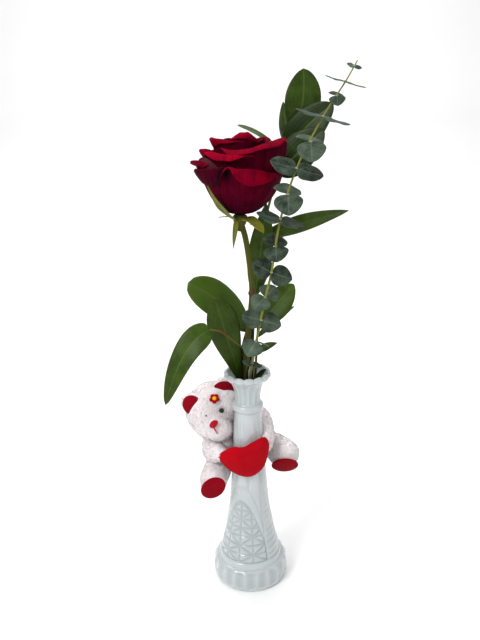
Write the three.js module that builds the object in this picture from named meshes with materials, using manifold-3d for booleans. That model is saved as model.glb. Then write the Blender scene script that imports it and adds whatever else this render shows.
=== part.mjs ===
// A cut rose in a pressed milk-glass bud vase, with a sprig of eucalyptus, four sprigs of ruscus and a
// small plush bear that hugs the vase. Millimetres, +Z up, origin at the centre of the vase's underside.
// The front of the object looks along -Y and its right side along +X.
import * as THREE from 'three';
import { mergeVertices } from 'three/addons/utils/BufferGeometryUtils.js';
import Module from 'manifold-3d';

const wasm = await Module();
wasm.setup();

// Driving dimensions
const GAP = 0.3;
const VASE_HEIGHT = 229;
const BASE_RADIUS = 38.4;
const BASE_FLUTES = 20;
const BASE_TURN = THREE.MathUtils.degToRad(9);
const NECK_FLUTES = 14;
const NECK_TURN = THREE.MathUtils.degToRad(-9.4);
const NECK_HEIGHT = 205;
const NECK_RADIUS = 12.6;
const NECK_BORE = 10.1;
const BORE_SIDES = 22;
const FLOOR_THICKNESS = 5;
const WATER_LEVEL = 150;
const STEM_FOOT = 9;
const STEM_SPREAD = 1.7;
const BLADE_THICKNESS = 0.7;
const PETAL_THICKNESS = 0.8;
const BLOOM_BASE = new THREE.Vector3(-4, -0.5, 377.5);
const BLOOM_LEAN = new THREE.Vector2(0.07, -0.055);

const at = (x, y, z) => new THREE.Vector3(x, y, z);

// Closed meshes as solids
function solidFrom(points, triangles) {
  const vertProperties = new Float32Array(points.flatMap((point) => [point.x, point.y, point.z]));
  const triVerts = new Uint32Array(triangles);
  return new wasm.Manifold(new wasm.Mesh({ numProp: 3, vertProperties, triVerts }));
}

function solidFromGeometry(geometry, matrix = new THREE.Matrix4()) {
  const bare = geometry.clone().applyMatrix4(matrix);
  bare.deleteAttribute('normal');
  bare.deleteAttribute('uv');
  const merged = mergeVertices(bare, 1e-4);
  const points = [];
  for (let i = 0; i < merged.attributes.position.count; i++) {
    points.push(new THREE.Vector3().fromBufferAttribute(merged.attributes.position, i));
  }
  return solidFrom(points, Array.from(merged.index.array));
}

function geometryFrom(solid) {
  const mesh = solid.getMesh();
  const geometry = new THREE.BufferGeometry();
  geometry.setAttribute('position', new THREE.BufferAttribute(new Float32Array(mesh.vertProperties), 3));
  geometry.setIndex(new THREE.BufferAttribute(new Uint32Array(mesh.triVerts), 1));
  geometry.computeVertexNormals();
  return geometry;
}

const union = (solids) => solids.reduce((sum, solid) => sum.add(solid));
const without = (solid, cutters) => cutters.reduce((rest, cutter) => rest.subtract(cutter), solid);

// The largest body of a cut solid: slivers that a cut leaves loose are dropped
function largestBody(solid) {
  const bodies = solid.decompose();
  return bodies.reduce((best, body) => (body.volume() > best.volume() ? body : best));
}

// A solid from rings of points, stitched by their share of a turn, so neighbours may differ in number.
// The first and the last ring are single points, and rings run anticlockwise seen from the last one.
function ringSolid(rings) {
  const points = rings.flat();
  const triangles = [];
  let start = 0;
  for (let ring = 0; ring + 1 < rings.length; ring++) {
    const lower = rings[ring].length;
    const upper = rings[ring + 1].length;
    const upperStart = start + lower;
    let i = 0;
    let j = 0;
    while ((lower > 1 && i < lower) || (upper > 1 && j < upper)) {
      const lowerNext = j === upper || (i + 1) / lower <= (j + 1) / upper;
      const stepLower = upper === 1 || (lower > 1 && i < lower && lowerNext);
      const a = start + (i % lower);
      const b = upperStart + (j % upper);
      if (stepLower) {
        triangles.push(a, start + ((i + 1) % lower), b);
        i++;
      } else {
        triangles.push(a, upperStart + ((j + 1) % upper), b);
        j++;
      }
    }
    start = upperStart;
  }
  return solidFrom(points, triangles);
}

// One round ring about Z, with lobes that push its outline in by up to depth, starting at an angle
function lobedRing(radius, height, sides, lobes = 0, depth = 0, start = 0) {
  return Array.from({ length: sides }, (_, i) => {
    const turn = (i / sides) * 2 * Math.PI;
    const reach = radius - depth * (0.5 - 0.5 * Math.cos(lobes * turn));
    return at(reach * Math.cos(turn + start), reach * Math.sin(turn + start), height);
  });
}

// A tube of round sections along a smooth curve. It has a section at each point of the path, and one
// between them past the leading points that lie in a straight line. Its ends are flat, or domed where
// dome is the share of the end's radius by which each end bulges.
function sweptSolid(path, radii, sides, { straight = 0, grow = 0, dome = 0 } = {}) {
  const curve = new THREE.CatmullRomCurve3(path, false, 'centripetal');
  const last = path.length - 1;
  const section = (mark, shrink = 1, shift = 0) => {
    const u = mark / last;
    const along = curve.getTangent(u);
    const sideways = new THREE.Vector3().crossVectors(at(0, 1, 0.01), along).normalize();
    const forwards = new THREE.Vector3().crossVectors(along, sideways);
    const place = u * (radii.length - 1);
    const index = Math.min(Math.floor(place), radii.length - 2);
    const radius = THREE.MathUtils.lerp(radii[index], radii[index + 1], place - index) + grow;
    const centre = curve.getPoint(u).addScaledVector(along, shift * radius);
    if (shrink === 0) return [centre];
    return Array.from({ length: sides }, (_, i) => {
      const turn = (i / sides) * 2 * Math.PI;
      return centre.clone()
        .addScaledVector(sideways, shrink * radius * Math.cos(turn))
        .addScaledVector(forwards, shrink * radius * Math.sin(turn));
    });
  };
  const marks = path.flatMap((_, i) => (i < straight || i === last ? [i] : [i, i + 0.5]));
  const domeRing = (mark, side) => (dome ? [section(mark, 0.7, 0.7 * dome * side)] : []);
  return ringSolid([
    section(0, 0, -dome),
    ...domeRing(0, -1),
    ...marks.map((mark) => section(mark)),
    ...domeRing(last, 1),
    section(last, 0, dome),
  ]);
}

// A thin sheet over a grid of mid-surface points, split into triangles alike on both faces
function sheetSolid(grid, thickness) {
  const rows = grid.length;
  const columns = grid[0].length;
  const top = [];
  const bottom = [];
  for (let r = 0; r < rows; r++) {
    for (let c = 0; c < columns; c++) {
      const down = grid[Math.min(r + 1, rows - 1)][c].clone().sub(grid[Math.max(r - 1, 0)][c]);
      const across = grid[r][Math.min(c + 1, columns - 1)].clone().sub(grid[r][Math.max(c - 1, 0)]);
      const normal = new THREE.Vector3().crossVectors(across, down).normalize();
      top.push(grid[r][c].clone().addScaledVector(normal, thickness / 2));
      bottom.push(grid[r][c].clone().addScaledVector(normal, -thickness / 2));
    }
  }
  const under = rows * columns;
  const triangles = [];
  for (let r = 0; r + 1 < rows; r++) {
    for (let c = 0; c + 1 < columns; c++) {
      const a = r * columns + c;
      const b = a + 1;
      const d = a + columns;
      const e = d + 1;
      triangles.push(a, b, e, a, e, d);
      triangles.push(under + a, under + e, under + b, under + a, under + d, under + e);
    }
  }
  const rim = [];
  for (let c = 0; c < columns; c++) rim.push(c);
  for (let r = 1; r < rows; r++) rim.push(r * columns + columns - 1);
  for (let c = columns - 2; c >= 0; c--) rim.push((rows - 1) * columns + c);
  for (let r = rows - 2; r > 0; r--) rim.push(r * columns);
  rim.forEach((a, i) => {
    const b = rim[(i + 1) % rim.length];
    triangles.push(a, under + b, b, a, under + a, under + b);
  });
  return solidFrom([...top, ...bottom], triangles);
}

// Leaf blade: a bent midrib with a width that follows the leaf's outline and a fold along the midrib.
// peak moves the widest place towards the base when it is under 1, and fullness rounds the outline.
// bend pushes the middle towards the face, and arch pushes it any way.
function leafGrid(leaf, rows, columns) {
  const { base, tip, face, width, bend = 0, arch = at(0, 0, 0) } = leaf;
  const { fold = 0.15, peak = 0.8, fullness = 0.75 } = leaf;
  const chord = tip.clone().sub(base);
  const outward = face.clone().addScaledVector(chord, -face.dot(chord) / chord.lengthSq()).normalize();
  const middle = base.clone().add(tip).multiplyScalar(0.5).addScaledVector(outward, bend).add(arch);
  const midrib = new THREE.QuadraticBezierCurve3(base, middle, tip);
  const grid = [];
  for (let r = 0; r <= rows; r++) {
    const s = r / rows;
    const along = midrib.getTangent(s);
    const sideways = new THREE.Vector3().crossVectors(along, outward).normalize();
    const normal = new THREE.Vector3().crossVectors(sideways, along);
    const outline = Math.pow(Math.max(Math.sin(Math.PI * Math.pow(s, peak)), 0), fullness);
    const half = Math.max((width / 2) * outline, 0.5);
    const centre = midrib.getPoint(s);
    grid.push(Array.from({ length: columns + 1 }, (_, c) => {
      const t = (2 * c) / columns - 1;
      return centre.clone()
        .addScaledVector(sideways, half * t)
        .addScaledVector(normal, half * fold * Math.abs(t));
    }));
  }
  return grid;
}

const leafSolid = (leaf, rows, columns) => sheetSolid(leafGrid(leaf, rows, columns), BLADE_THICKNESS);

// Vase: one piece of pressed glass, profile rings from the underside up, over the rim and down the bore
const CONE_PROFILE = [
  [32.1, 24.4], [30.9, 28.9], [30.1, 29.4], [29.7, 33], [27.7, 43], [23.7, 62.9], [20.5, 79.6],
  [18.9, 96.4], [15.3, 150], [13.1, 184], [12.9, 188.4],
];
const BORE_PROFILE = [
  [15.2, 223.5], [11.6, 215], [NECK_BORE, NECK_HEIGHT], [10.3, 185], [12.2, 150], [16.6, 85],
  [20.4, 58], [24.8, 40], [28, 27], [31.5, 15], [30.5, 7],
];

const footRing = (radius, height, depth) => (
  lobedRing(radius, height, 3 * BASE_FLUTES, BASE_FLUTES, depth, BASE_TURN));
const neckRing = (radius, height, depth) => (
  lobedRing(radius, height, 3 * NECK_FLUTES, NECK_FLUTES, depth, NECK_TURN));
const beadRing = (radius, height, depth) => (
  lobedRing(radius, height, 4 * NECK_FLUTES, NECK_FLUTES, depth, NECK_TURN));

function vaseSolid() {
  const coneSides = 30;
  return ringSolid([
    [at(0, 0, 0)],
    lobedRing(33, 0, coneSides),
    footRing(36.2, 1.2, 0.3),
    footRing(37.9, 5.6, 1.1),
    footRing(BASE_RADIUS, 13, 1.1),
    footRing(37.9, 17.5, 1.1),
    footRing(36.2, 21.6, 0.9),
    lobedRing(32.4, 23.4, coneSides),
    ...CONE_PROFILE.map(([radius, height]) => lobedRing(radius, height, coneSides)),
    lobedRing(14.1, 189.6, coneSides),
    lobedRing(15.0, 192.6, coneSides),
    lobedRing(14.2, 195.4, coneSides),
    neckRing(13, 196.6, 0.9),
    neckRing(NECK_RADIUS, NECK_HEIGHT, 0.9),
    neckRing(14, 212.5, 1.0),
    neckRing(17.4, 219.2, 1.0),
    beadRing(21.2, 221.6, 1.4),
    beadRing(22.4, 224.8, 1.6),
    beadRing(21.1, VASE_HEIGHT - 0.9, 1.3),
    beadRing(19.2, VASE_HEIGHT, 0.8),
    lobedRing(17.4, VASE_HEIGHT - 1.4, 2 * NECK_FLUTES),
    ...BORE_PROFILE.map(([radius, height]) => lobedRing(radius, height, BORE_SIDES)),
    [at(0, 0, FLOOR_THICKNESS)],
  ]);
}

// The space that the outside of the vase takes, a little larger, for cutting what leans on it
function vaseRoom() {
  const grow = 2 * GAP;
  const rings = [
    [40, 0], ...CONE_PROFILE, [15.2, 189], [15.2, 196.4], [13.4, 198], [13.2, 206], [15.6, 213], [23, 222],
  ];
  return ringSolid([
    [at(0, 0, 0)],
    ...rings.map(([radius, height]) => lobedRing(radius + grow, height, 24)),
    [at(0, 0, 222)],
  ]);
}

// Stems stand straight below the neck, spread from where they pass it
function stemPath(neck, above) {
  const foot = at(neck.x * STEM_SPREAD, neck.y * STEM_SPREAD, STEM_FOOT);
  return [foot, foot.clone().lerp(neck, 0.8), neck, ...above];
}

const ROSE_NECK = at(-0.6, -1.5, NECK_HEIGHT);
const EUCALYPTUS_NECK = at(2.5, -7, NECK_HEIGHT);
const TALL_NECK = at(4.6, 4.6, NECK_HEIGHT);
const LEFT_NECK = at(-5.6, 3.8, NECK_HEIGHT);
const RIGHT_NECK = at(6.9, -1, NECK_HEIGHT);
const FRONT_NECK = at(-2.2, -6.6, NECK_HEIGHT);

const STEMS = {
  rose: {
    path: stemPath(ROSE_NECK, [
      at(-1.5, -2, 233), at(1.9, -3, 270), at(5.6, -3, 307), at(3.8, -2.4, 332), at(0.6, -1.2, 356),
      at(-2.8, -0.5, 369),
    ]),
    radii: [2.5, 2.5, 2.7, 2.6, 3.2],
    sides: 8,
  },
  eucalyptus: {
    path: stemPath(EUCALYPTUS_NECK, [
      at(2.6, -9, 224), at(4.6, -17.5, 243), at(8.4, -24, 267), at(16.5, -34, 311), at(21.5, -38, 334),
      at(28.5, -46, 380), at(41, -48, 420), at(61, -46, 458), at(78, -42, 483), at(87, -40, 498),
    ]),
    radii: [1.4, 1.3, 1.2, 1.1, 0.9, 0.7, 0.45],
    sides: 5,
  },
  tall: {
    path: stemPath(TALL_NECK, [
      at(5.2, 8, 232), at(8, 14, 290), at(14.5, 19, 345), at(24, 26, 385), at(34, 33, 412), at(45, 40, 436),
    ]),
    radii: [1.5, 1.4, 1.3, 1.1, 0.8],
    sides: 5,
  },
  left: {
    path: stemPath(LEFT_NECK, [at(-5.2, 5.4, 228), at(-1, 10.5, 250), at(3, 14, 264)]),
    radii: [1.4, 1.3, 1.2, 0.9],
    sides: 5,
  },
  right: {
    path: stemPath(RIGHT_NECK, [at(8, 1, 228), at(9.6, 6, 250), at(10.8, 10.5, 268)]),
    radii: [1.4, 1.3, 1.2, 0.9],
    sides: 5,
  },
  front: {
    path: stemPath(FRONT_NECK, [
      at(-1.6, -8.1, 228), at(1.2, -9.2, 243), at(0.4, -10.4, 252), at(-6.4, -14, 259.6),
      at(-16.7, -21, 271), at(-23.6, -27, 278.5), at(-33, -31.5, 281.7),
    ]),
    radii: [1.2, 1.1, 1.0, 0.8],
    sides: 5,
  },
};

const stemSolid = ({ path, radii, sides }) => sweptSolid(path, radii, sides, { straight: 2 });

// Water: fills the bore up to its level, with a plain hole for each stem
function waterSolid() {
  const body = ringSolid([
    [at(0, 0, FLOOR_THICKNESS + GAP)],
    ...BORE_PROFILE.filter(([, height]) => height <= WATER_LEVEL).reverse()
      .map(([radius, height]) => lobedRing(radius - 1.5 * GAP, height + GAP, BORE_SIDES)),
    [at(0, 0, WATER_LEVEL + GAP)],
  ]);
  const holes = Object.values(STEMS).map(({ path, radii, sides }) => {
    const below = path[0].clone().lerp(path[1], -0.1);
    return sweptSolid([below, path[1]], [radii[0], radii[0]], sides, { straight: 1, grow: 1.5 * GAP });
  });
  return without(body, holes);
}

// Petals: each rises along a cup profile and rolls outwards at its lip. Turns are in degrees about the
// bloom, 0 at the front and positive towards +X. The rows go from the core outwards.
const PETALS = [
  { turn: 10, radius: 5, height: 66.5, cup: 0.3, start: 0.72, span: 80, roll: 50, lip: 1.5 },
  { turn: 190, radius: 6, height: 66, cup: 0.3, start: 0.7, span: 80, roll: 50, lip: 1.5 },
  { turn: 95, radius: 9.5, height: 66.5, cup: 0.32, start: 0.6, span: 70, roll: 80, lip: 2 },
  { turn: -30, radius: 10.5, height: 65.5, cup: 0.32, start: 0.6, span: 70, roll: 80, lip: 2 },
  { turn: -145, radius: 11.5, height: 66.5, cup: 0.32, start: 0.6, span: 70, roll: 80, lip: 2 },
  { turn: 40, radius: 15.5, height: 64, cup: 0.34, start: 0.45, span: 64, roll: 90, lip: 2.6 },
  { turn: 155, radius: 16.5, height: 66, cup: 0.34, start: 0.45, span: 64, roll: 90, lip: 2.6 },
  { turn: -80, radius: 17.5, height: 64, cup: 0.34, start: 0.45, span: 64, roll: 90, lip: 2.6 },
  { turn: 5, radius: 22, height: 60, cup: 0.36, start: 0.26, span: 58, roll: 100, lip: 3.2 },
  { turn: 100, radius: 23, height: 63, cup: 0.36, start: 0.26, span: 58, roll: 95, lip: 3.2 },
  { turn: -165, radius: 24, height: 64, cup: 0.36, start: 0.26, span: 58, roll: 95, lip: 3.2 },
  { turn: -75, radius: 25, height: 61, cup: 0.36, start: 0.26, span: 58, roll: 85, lip: 3.2 },
  { turn: 45, radius: 29.5, height: 55, cup: 0.42, start: 0.13, span: 54, roll: 110, lip: 3.6 },
  { turn: 135, radius: 30.5, height: 57, cup: 0.42, start: 0.13, span: 54, roll: 100, lip: 3.6 },
  { turn: -130, radius: 31, height: 55, cup: 0.42, start: 0.13, span: 54, roll: 100, lip: 3.6 },
  { turn: -35, radius: 32, height: 52, cup: 0.42, start: 0.13, span: 56, roll: 105, lip: 3.6 },
  { turn: 84, radius: 36, height: 58.5, cup: 0.23, start: 0.05, span: 48, roll: 25, lip: 3 },
  { turn: 170, radius: 36.5, height: 48, cup: 0.48, start: 0.07, span: 54, roll: 110, lip: 4 },
  { turn: -95, radius: 37, height: 45, cup: 0.48, start: 0.07, span: 52, roll: 70, lip: 4 },
  { turn: -8, radius: 38.5, height: 41.5, cup: 0.46, start: 0.07, span: 66, roll: 130, lip: 5 },
];
const PETAL_BODY_SHARE = 0.66;

function petalGrid(petal, rows, columns) {
  const grid = [];
  for (let r = 0; r <= rows; r++) {
    const s = r / rows;
    grid.push(Array.from({ length: columns + 1 }, (_, c) => {
      const t = (2 * c) / columns - 1;
      const top = petal.height * (1 - 0.05 * t * t);
      const lean = Math.atan2(top, petal.radius * petal.cup);
      const rise = Math.min(s / PETAL_BODY_SHARE, 1);
      const climb = petal.start + (1 - petal.start) * rise;
      const rolled = Math.max((s - PETAL_BODY_SHARE) / (1 - PETAL_BODY_SHARE), 0);
      const bend = rolled * THREE.MathUtils.degToRad(petal.roll) * (1 - 0.35 * t * t);
      const lip = petal.lip * (1 + 0.3 * t * t);
      const spiral = 1 + 0.03 * t;
      const fold = lip * (Math.sin(lean) - Math.sin(lean - bend));
      const out = petal.radius * Math.pow(climb, petal.cup) * spiral + fold;
      const up = top * climb + lip * (Math.cos(lean - bend) - Math.cos(lean));
      const turn = THREE.MathUtils.degToRad(petal.turn + petal.span * t * (0.8 + 0.2 * rise));
      return at(
        BLOOM_BASE.x + BLOOM_LEAN.x * up + out * Math.sin(turn),
        BLOOM_BASE.y + BLOOM_LEAN.y * up - out * Math.cos(turn),
        BLOOM_BASE.z + up,
      );
    }));
  }
  return grid;
}

function bloomSolid() {
  const profile = [[5, 0], [10.5, 3.5], [15, 10], [15, 28], [11, 44], [4, 60]];
  const core = ringSolid([
    [BLOOM_BASE.clone()],
    ...profile.map(([radius, up]) => lobedRing(radius, up, 10).map((point) => at(
      point.x + BLOOM_BASE.x + BLOOM_LEAN.x * up,
      point.y + BLOOM_BASE.y + BLOOM_LEAN.y * up,
      point.z + BLOOM_BASE.z,
    ))),
    [at(BLOOM_BASE.x + BLOOM_LEAN.x * 62, BLOOM_BASE.y + BLOOM_LEAN.y * 62, BLOOM_BASE.z + 62.5)],
  ]);
  const petals = PETALS.map((petal) => {
    const [rows, columns] = petal.radius < 20 ? [3, 3] : [4, 4];
    return sheetSolid(petalGrid(petal, rows, columns), PETAL_THICKNESS);
  });
  return largestBody(union([core, ...petals]));
}

// Sepals hang from the hip: one lies along the bloom, the others reach out or hang down
const SEPALS = [
  {
    base: at(-7, -3.5, 373), tip: at(-30, -31, 406), face: at(-0.55, -0.6, -0.6),
    width: 9, bend: 6.5, peak: 0.55,
  },
  {
    base: at(-6.5, -3.5, 374), tip: at(-10.3, -14, 350), face: at(-0.2, -1, 0),
    width: 5, bend: 3, peak: 0.5,
  },
  {
    base: at(-1, -4, 374.5), tip: at(16, -20, 364), face: at(0.5, -0.5, 0.7),
    width: 16, bend: 4, peak: 0.7,
  },
  { base: at(-7, 1, 374), tip: at(-23, -1, 375), face: at(0, 0, 1), width: 3.4, bend: 1.5, peak: 0.6 },
  { base: at(0, 3, 374), tip: at(6, 13, 365), face: at(0.3, 0.5, 0.8), width: 6, bend: 4, peak: 0.6 },
];

const HIP_PROFILE = [[3, 365], [5, 369.5], [6.2, 373.5], [5.6, BLOOM_BASE.z - GAP]];

function roseStemSolid() {
  const centre = at(BLOOM_BASE.x, BLOOM_BASE.y, 0);
  const [lowest, highest] = [HIP_PROFILE[0][1] - 1, BLOOM_BASE.z - GAP];
  const hip = ringSolid([
    [centre.clone().setZ(lowest)],
    ...HIP_PROFILE.map(([radius, height]) => (
      lobedRing(radius, height, 12).map((point) => point.add(centre)))),
    [centre.clone().setZ(highest)],
  ]);
  const knuckle = ellipsoid(at(5.6, -3, 306), [3.6, 3.6, 4], [0, 0, 0], 8);
  const sepals = SEPALS.map((sepal) => leafSolid(sepal, 4, 2));
  return union([stemSolid(STEMS.rose), hip, knuckle, ...sepals]);
}

// Eucalyptus: opposite pairs of round leaves, each pair turned a quarter from the last, so that pairs
// along X and along Y take turns. Each entry is a joint on the stem, the leaves' reach there, how far a
// pair along X faces forward, or how steeply the rear leaf of a pair along Y rises and the front one drops.
const EUCALYPTUS_PAIRS = [
  { joint: at(84.5, -40.5, 494), reach: 6, facing: 0.5 },
  { joint: at(78, -42, 483), reach: 16.5, facing: 0.05 },
  { joint: at(71.5, -44, 473), reach: 10, rise: 0.3, drop: 0.6 },
  { joint: at(61, -46, 458), reach: 22, facing: 0.12 },
  { joint: at(52, -47.5, 440), reach: 18, rise: 0.2, drop: 0.83 },
  { joint: at(41, -48, 420), reach: 22, facing: 0.5 },
  { joint: at(34.5, -47.5, 400), reach: 18.5, rise: 0.35, drop: 0.83 },
  { joint: at(28.5, -46, 380), reach: 20.5, facing: 0.25 },
  { joint: at(25, -42, 357), reach: 16.5, rise: 0.55, drop: 0.45 },
  { joint: at(21.5, -38, 334), reach: 18.5, facing: 0.95, lift: 0.3 },
  { joint: at(16.5, -34, 311), reach: 15.5, rise: 0.6, drop: 0.6, swing: 0.75 },
  { joint: at(13, -29.5, 289), reach: 18, facing: 0.95 },
  { joint: at(8.4, -24, 267), reach: 16, rise: -0.5, drop: 0.7, swing: 0.55 },
  { joint: at(4.6, -17.5, 243), reach: 9.5, facing: 0.2 },
];

function eucalyptusLeaves({ joint, reach, facing, rise, drop, swing = 0, lift = 0 }) {
  const blade = (direction, face, width, bend) => (
    { base: joint, tip: joint.clone().addScaledVector(direction.normalize(), reach), face, width, bend });
  if (rise === undefined) {
    return [-1, 1].map((side) => {
      const direction = at(side, -0.1, -0.3 * side + lift * (side < 0 ? 1 : -0.2));
      return blade(direction, at(0.3, -facing, 1 - 0.6 * facing), 1.02 * reach, -0.08 * reach);
    });
  }
  return [
    blade(at(-swing, -0.55, -drop), at(-0.1, -drop, 0.55), 1.26 * reach, 0.12 * reach),
    blade(at(swing, 0.9, rise), at(0.25, -0.35 - rise, 0.9), 1.26 * reach, -0.08 * reach),
  ];
}

function eucalyptusSolid() {
  const leaves = EUCALYPTUS_PAIRS.flatMap(eucalyptusLeaves)
    .map((leaf) => leafSolid({ ...leaf, fold: 0.08, peak: 0.72, fullness: 0.6 }, 3, 2));
  return union([stemSolid(STEMS.eucalyptus), ...leaves]);
}

// Ruscus sprigs: broad pointed leaves on thin stems
const RUSCUS_LEAVES = {
  tall: [
    {
      base: at(45.5, 40, 435), tip: at(54, 37, 497), face: at(0, -1, 0.1), width: 32, bend: 3, peak: 1.25,
      fullness: 0.6, arch: at(7, 0, 0),
    },
    { base: at(42, 38.5, 430), tip: at(38, 60, 470), face: at(-0.2, -0.9, 0.3), width: 13, bend: 3 },
    {
      base: at(40, 37, 426), tip: at(79, 23, 467), face: at(-0.2, -0.9, 0.3),
      width: 33, bend: 4, fullness: 0.6, arch: at(-2, 0, 5),
    },
    {
      base: at(31.5, 32, 408), tip: at(71, 20, 446), face: at(-0.2, -0.9, 0.35),
      width: 34, bend: 4, fullness: 0.6, arch: at(1, 0, 2),
    },
    { base: at(38, 36, 421), tip: at(-4.5, 44, 451), face: at(0.25, -0.35, 0.9), width: 10, bend: 10 },
    { base: at(16.5, 20.5, 353), tip: at(93, 10, 377), face: at(-0.1, -0.75, 0.65), width: 18, bend: 5 },
    {
      base: at(8.5, 14.5, 297), tip: at(20, 15, 384), face: at(0.1, -1, 0.1),
      width: 23, bend: 3, peak: 0.9,
    },
  ],
  left: [
    {
      base: at(3, 14, 264), tip: at(-53, 8, 314), face: at(0.35, -0.6, 0.7),
      width: 41, bend: 13, peak: 1.35, fullness: 0.45,
    },
    {
      base: at(-5.4, 4.2, 209), tip: at(-28, -14, 304), face: at(0.46, -0.88, 0.05),
      width: 31, bend: 3, peak: 2.2, fullness: 0.5,
    },
    { base: at(-5.4, 4.8, 215), tip: at(6, 8, 283), face: at(0.1, -1, 0), width: 12, bend: 2 },
  ],
  right: [
    {
      base: at(10.8, 10.5, 267), tip: at(46, 25, 306), face: at(-0.1, -0.85, 0.5),
      width: 27, bend: 4, peak: 1.1, fullness: 0.65,
    },
    { base: at(10.4, 8.5, 259), tip: at(45.5, 12, 288), face: at(-0.5, -0.3, 0.8), width: 12, bend: 3 },
    { base: at(9.4, 5, 246), tip: at(28.5, 0, 256), face: at(-0.2, -0.6, 0.8), width: 9, bend: 2 },
    { base: at(7.5, 0, 219), tip: at(18, -8, 233), face: at(-0.2, -0.5, 0.8), width: 8, bend: 1 },
  ],
  front: [
    {
      base: at(-32, -31.2, 281.4), tip: at(-73.5, -46, 217), face: at(-0.25, -0.9, 0.35),
      width: 24, arch: at(-3.5, -6, 28), peak: 0.62, fullness: 0.55,
    },
  ],
};

function ruscusSolid(name) {
  const leaves = RUSCUS_LEAVES[name].map((leaf) => leafSolid(leaf, 5, leaf.width > 20 ? 4 : 2));
  return union([stemSolid(STEMS[name]), ...leaves]);
}

// Plush bear: rounded stuffed forms. Each maker takes how much larger to make it, for cutting neighbours.
function ellipsoid(centre, radii, turn = [0, 0, 0], sides = 16, grow = 0) {
  const matrix = new THREE.Matrix4().compose(
    centre,
    new THREE.Quaternion().setFromEuler(new THREE.Euler(...turn)),
    at(radii[0] + grow, radii[1] + grow, radii[2] + grow),
  );
  return solidFromGeometry(new THREE.SphereGeometry(1, sides, Math.round(sides * 0.6)), matrix);
}

const HEAD_TILT = 0.4;
const EARS = {
  left: { centre: at(-56, 20, 185.5), radii: [12.5, 6, 12.5], turn: [0.1, HEAD_TILT, -0.35] },
  right: { centre: at(-21.5, 24.5, 201), radii: [12.5, 5.5, 11.5], turn: [-0.35, 0, 0.1] },
};
const LININGS = {
  left: { centre: at(-54.8, 13.6, 186.2), radii: [10.9, 2.6, 10.9], turn: EARS.left.turn },
  right: { centre: at(-22.3, 18.6, 201.5), radii: [11.6, 2.6, 7.4], turn: EARS.right.turn },
};
const NOSE = { centre: at(-33.2, -9.9, 177.6), radii: [5, 2.7, 3.2], turn: [0, -0.75, 0] };
const EYES = {
  left: { centre: at(-41.2, 2.4, 181.2), radii: [2.1, 2, 2.1] },
  right: { centre: at(-25.6, 0.4, 186.6), radii: [2.5, 2.2, 2.5] },
};
const TRIM_SIDES = 8;
const SOLE_SIDES = 10;
const spot = ({ centre, radii, turn }, sides, grow = 0) => ellipsoid(centre, radii, turn, sides, grow);

function headSolid(grow = 0) {
  return union([
    ellipsoid(at(-34, 25, 176), [29.5, 25, 30.5], [0, HEAD_TILT, 0], 12, grow),
    ellipsoid(at(-19.5, 15.5, 188.5), [13, 13, 13.5], [0, 0, 0], 8, grow),
    ellipsoid(at(-38, 14, 164), [18, 15, 15.5], [0, HEAD_TILT, 0], 8, grow),
    ellipsoid(at(-29.5, 3.5, 166.5), [16, 14, 14.5], [0, HEAD_TILT, 0], 10, grow),
    spot(EARS.left, 10, grow),
    spot(EARS.right, 10, grow),
  ]);
}

const LIMBS = {
  bear_leg_left: { path: [at(-20, 33, 128), at(-30, 8, 121), at(-36, -12, 115.5)], radii: [12, 14.5, 14] },
  bear_leg_right: { path: [at(12, 34, 130), at(26, 22, 134.5), at(37, 8.5, 131.8)], radii: [12, 14, 16] },
  bear_arm_left: {
    path: [at(-28, 33, 152), at(-36, 11, 140.5), at(-31, -8, 145), at(-26, -15, 147)],
    radii: [10, 12.5, 10.5, 7],
  },
  bear_arm_right: {
    path: [at(1, 34, 168), at(13, 22, 168), at(18, 3, 158), at(16, -14, 155)],
    radii: [9.5, 10, 9, 7],
  },
};

const limbSolid = ({ path, radii }, grow = 0) => sweptSolid(path, radii, 10, { grow, dome: 0.85 });

const SOLES = {
  left: { centre: at(-35.3, -24.6, 116), radii: [10.4, 3, 13.4], turn: [0, 0.85, 0] },
  right: { centre: at(36, -3.2, 126.6), radii: [13.4, 3, 12], turn: [0.5, 0, 0] },
};

// Stuffed heart: a broad outline with a shallow notch, domed on both sides and held across the vase
const HEART_OUTLINE = [
  [-30.4, 147], [-25.4, 152.4], [-15.5, 158.5], [-5.5, 158.6], [4, 163.7], [15, 168], [19.4, 161.5],
  [18, 145.5], [12.5, 133], [1, 126], [-12.5, 129], [-24.4, 138],
];
const HEART = { centre: at(-4, -22, 147), halfDepth: 6, points: 24 };

function heartSolid(grow = 0) {
  const { centre, halfDepth, points } = HEART;
  const outline = new THREE.CatmullRomCurve3(HEART_OUTLINE.map(([x, z]) => at(x, 0, z)), true);
  const ring = (share, depth) => Array.from({ length: points }, (_, i) => {
    const offset = outline.getPoint(i / points).setY(centre.y).sub(centre);
    offset.multiplyScalar(share * (1 + grow / offset.length()));
    return centre.clone().add(offset).add(at(0, depth + 0.006 * offset.x * offset.x, 0));
  });
  const deep = halfDepth + grow;
  return ringSolid([
    [at(centre.x, centre.y - deep, centre.z)],
    ring(0.5, -0.93 * deep),
    ring(0.85, -0.62 * deep),
    ring(1, 0),
    ring(0.85, 0.62 * deep),
    ring(0.5, 0.93 * deep),
    [at(centre.x, centre.y + deep, centre.z)],
  ]);
}

// Applique flower on the bear's forehead: five round petals in felt, one pointing down, and a round centre
const FLOWER = { centre: at(-32.4, 6.1, 196.8), radius: 5.2, petals: 5, thickness: 1, lean: 0.7 };

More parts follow.
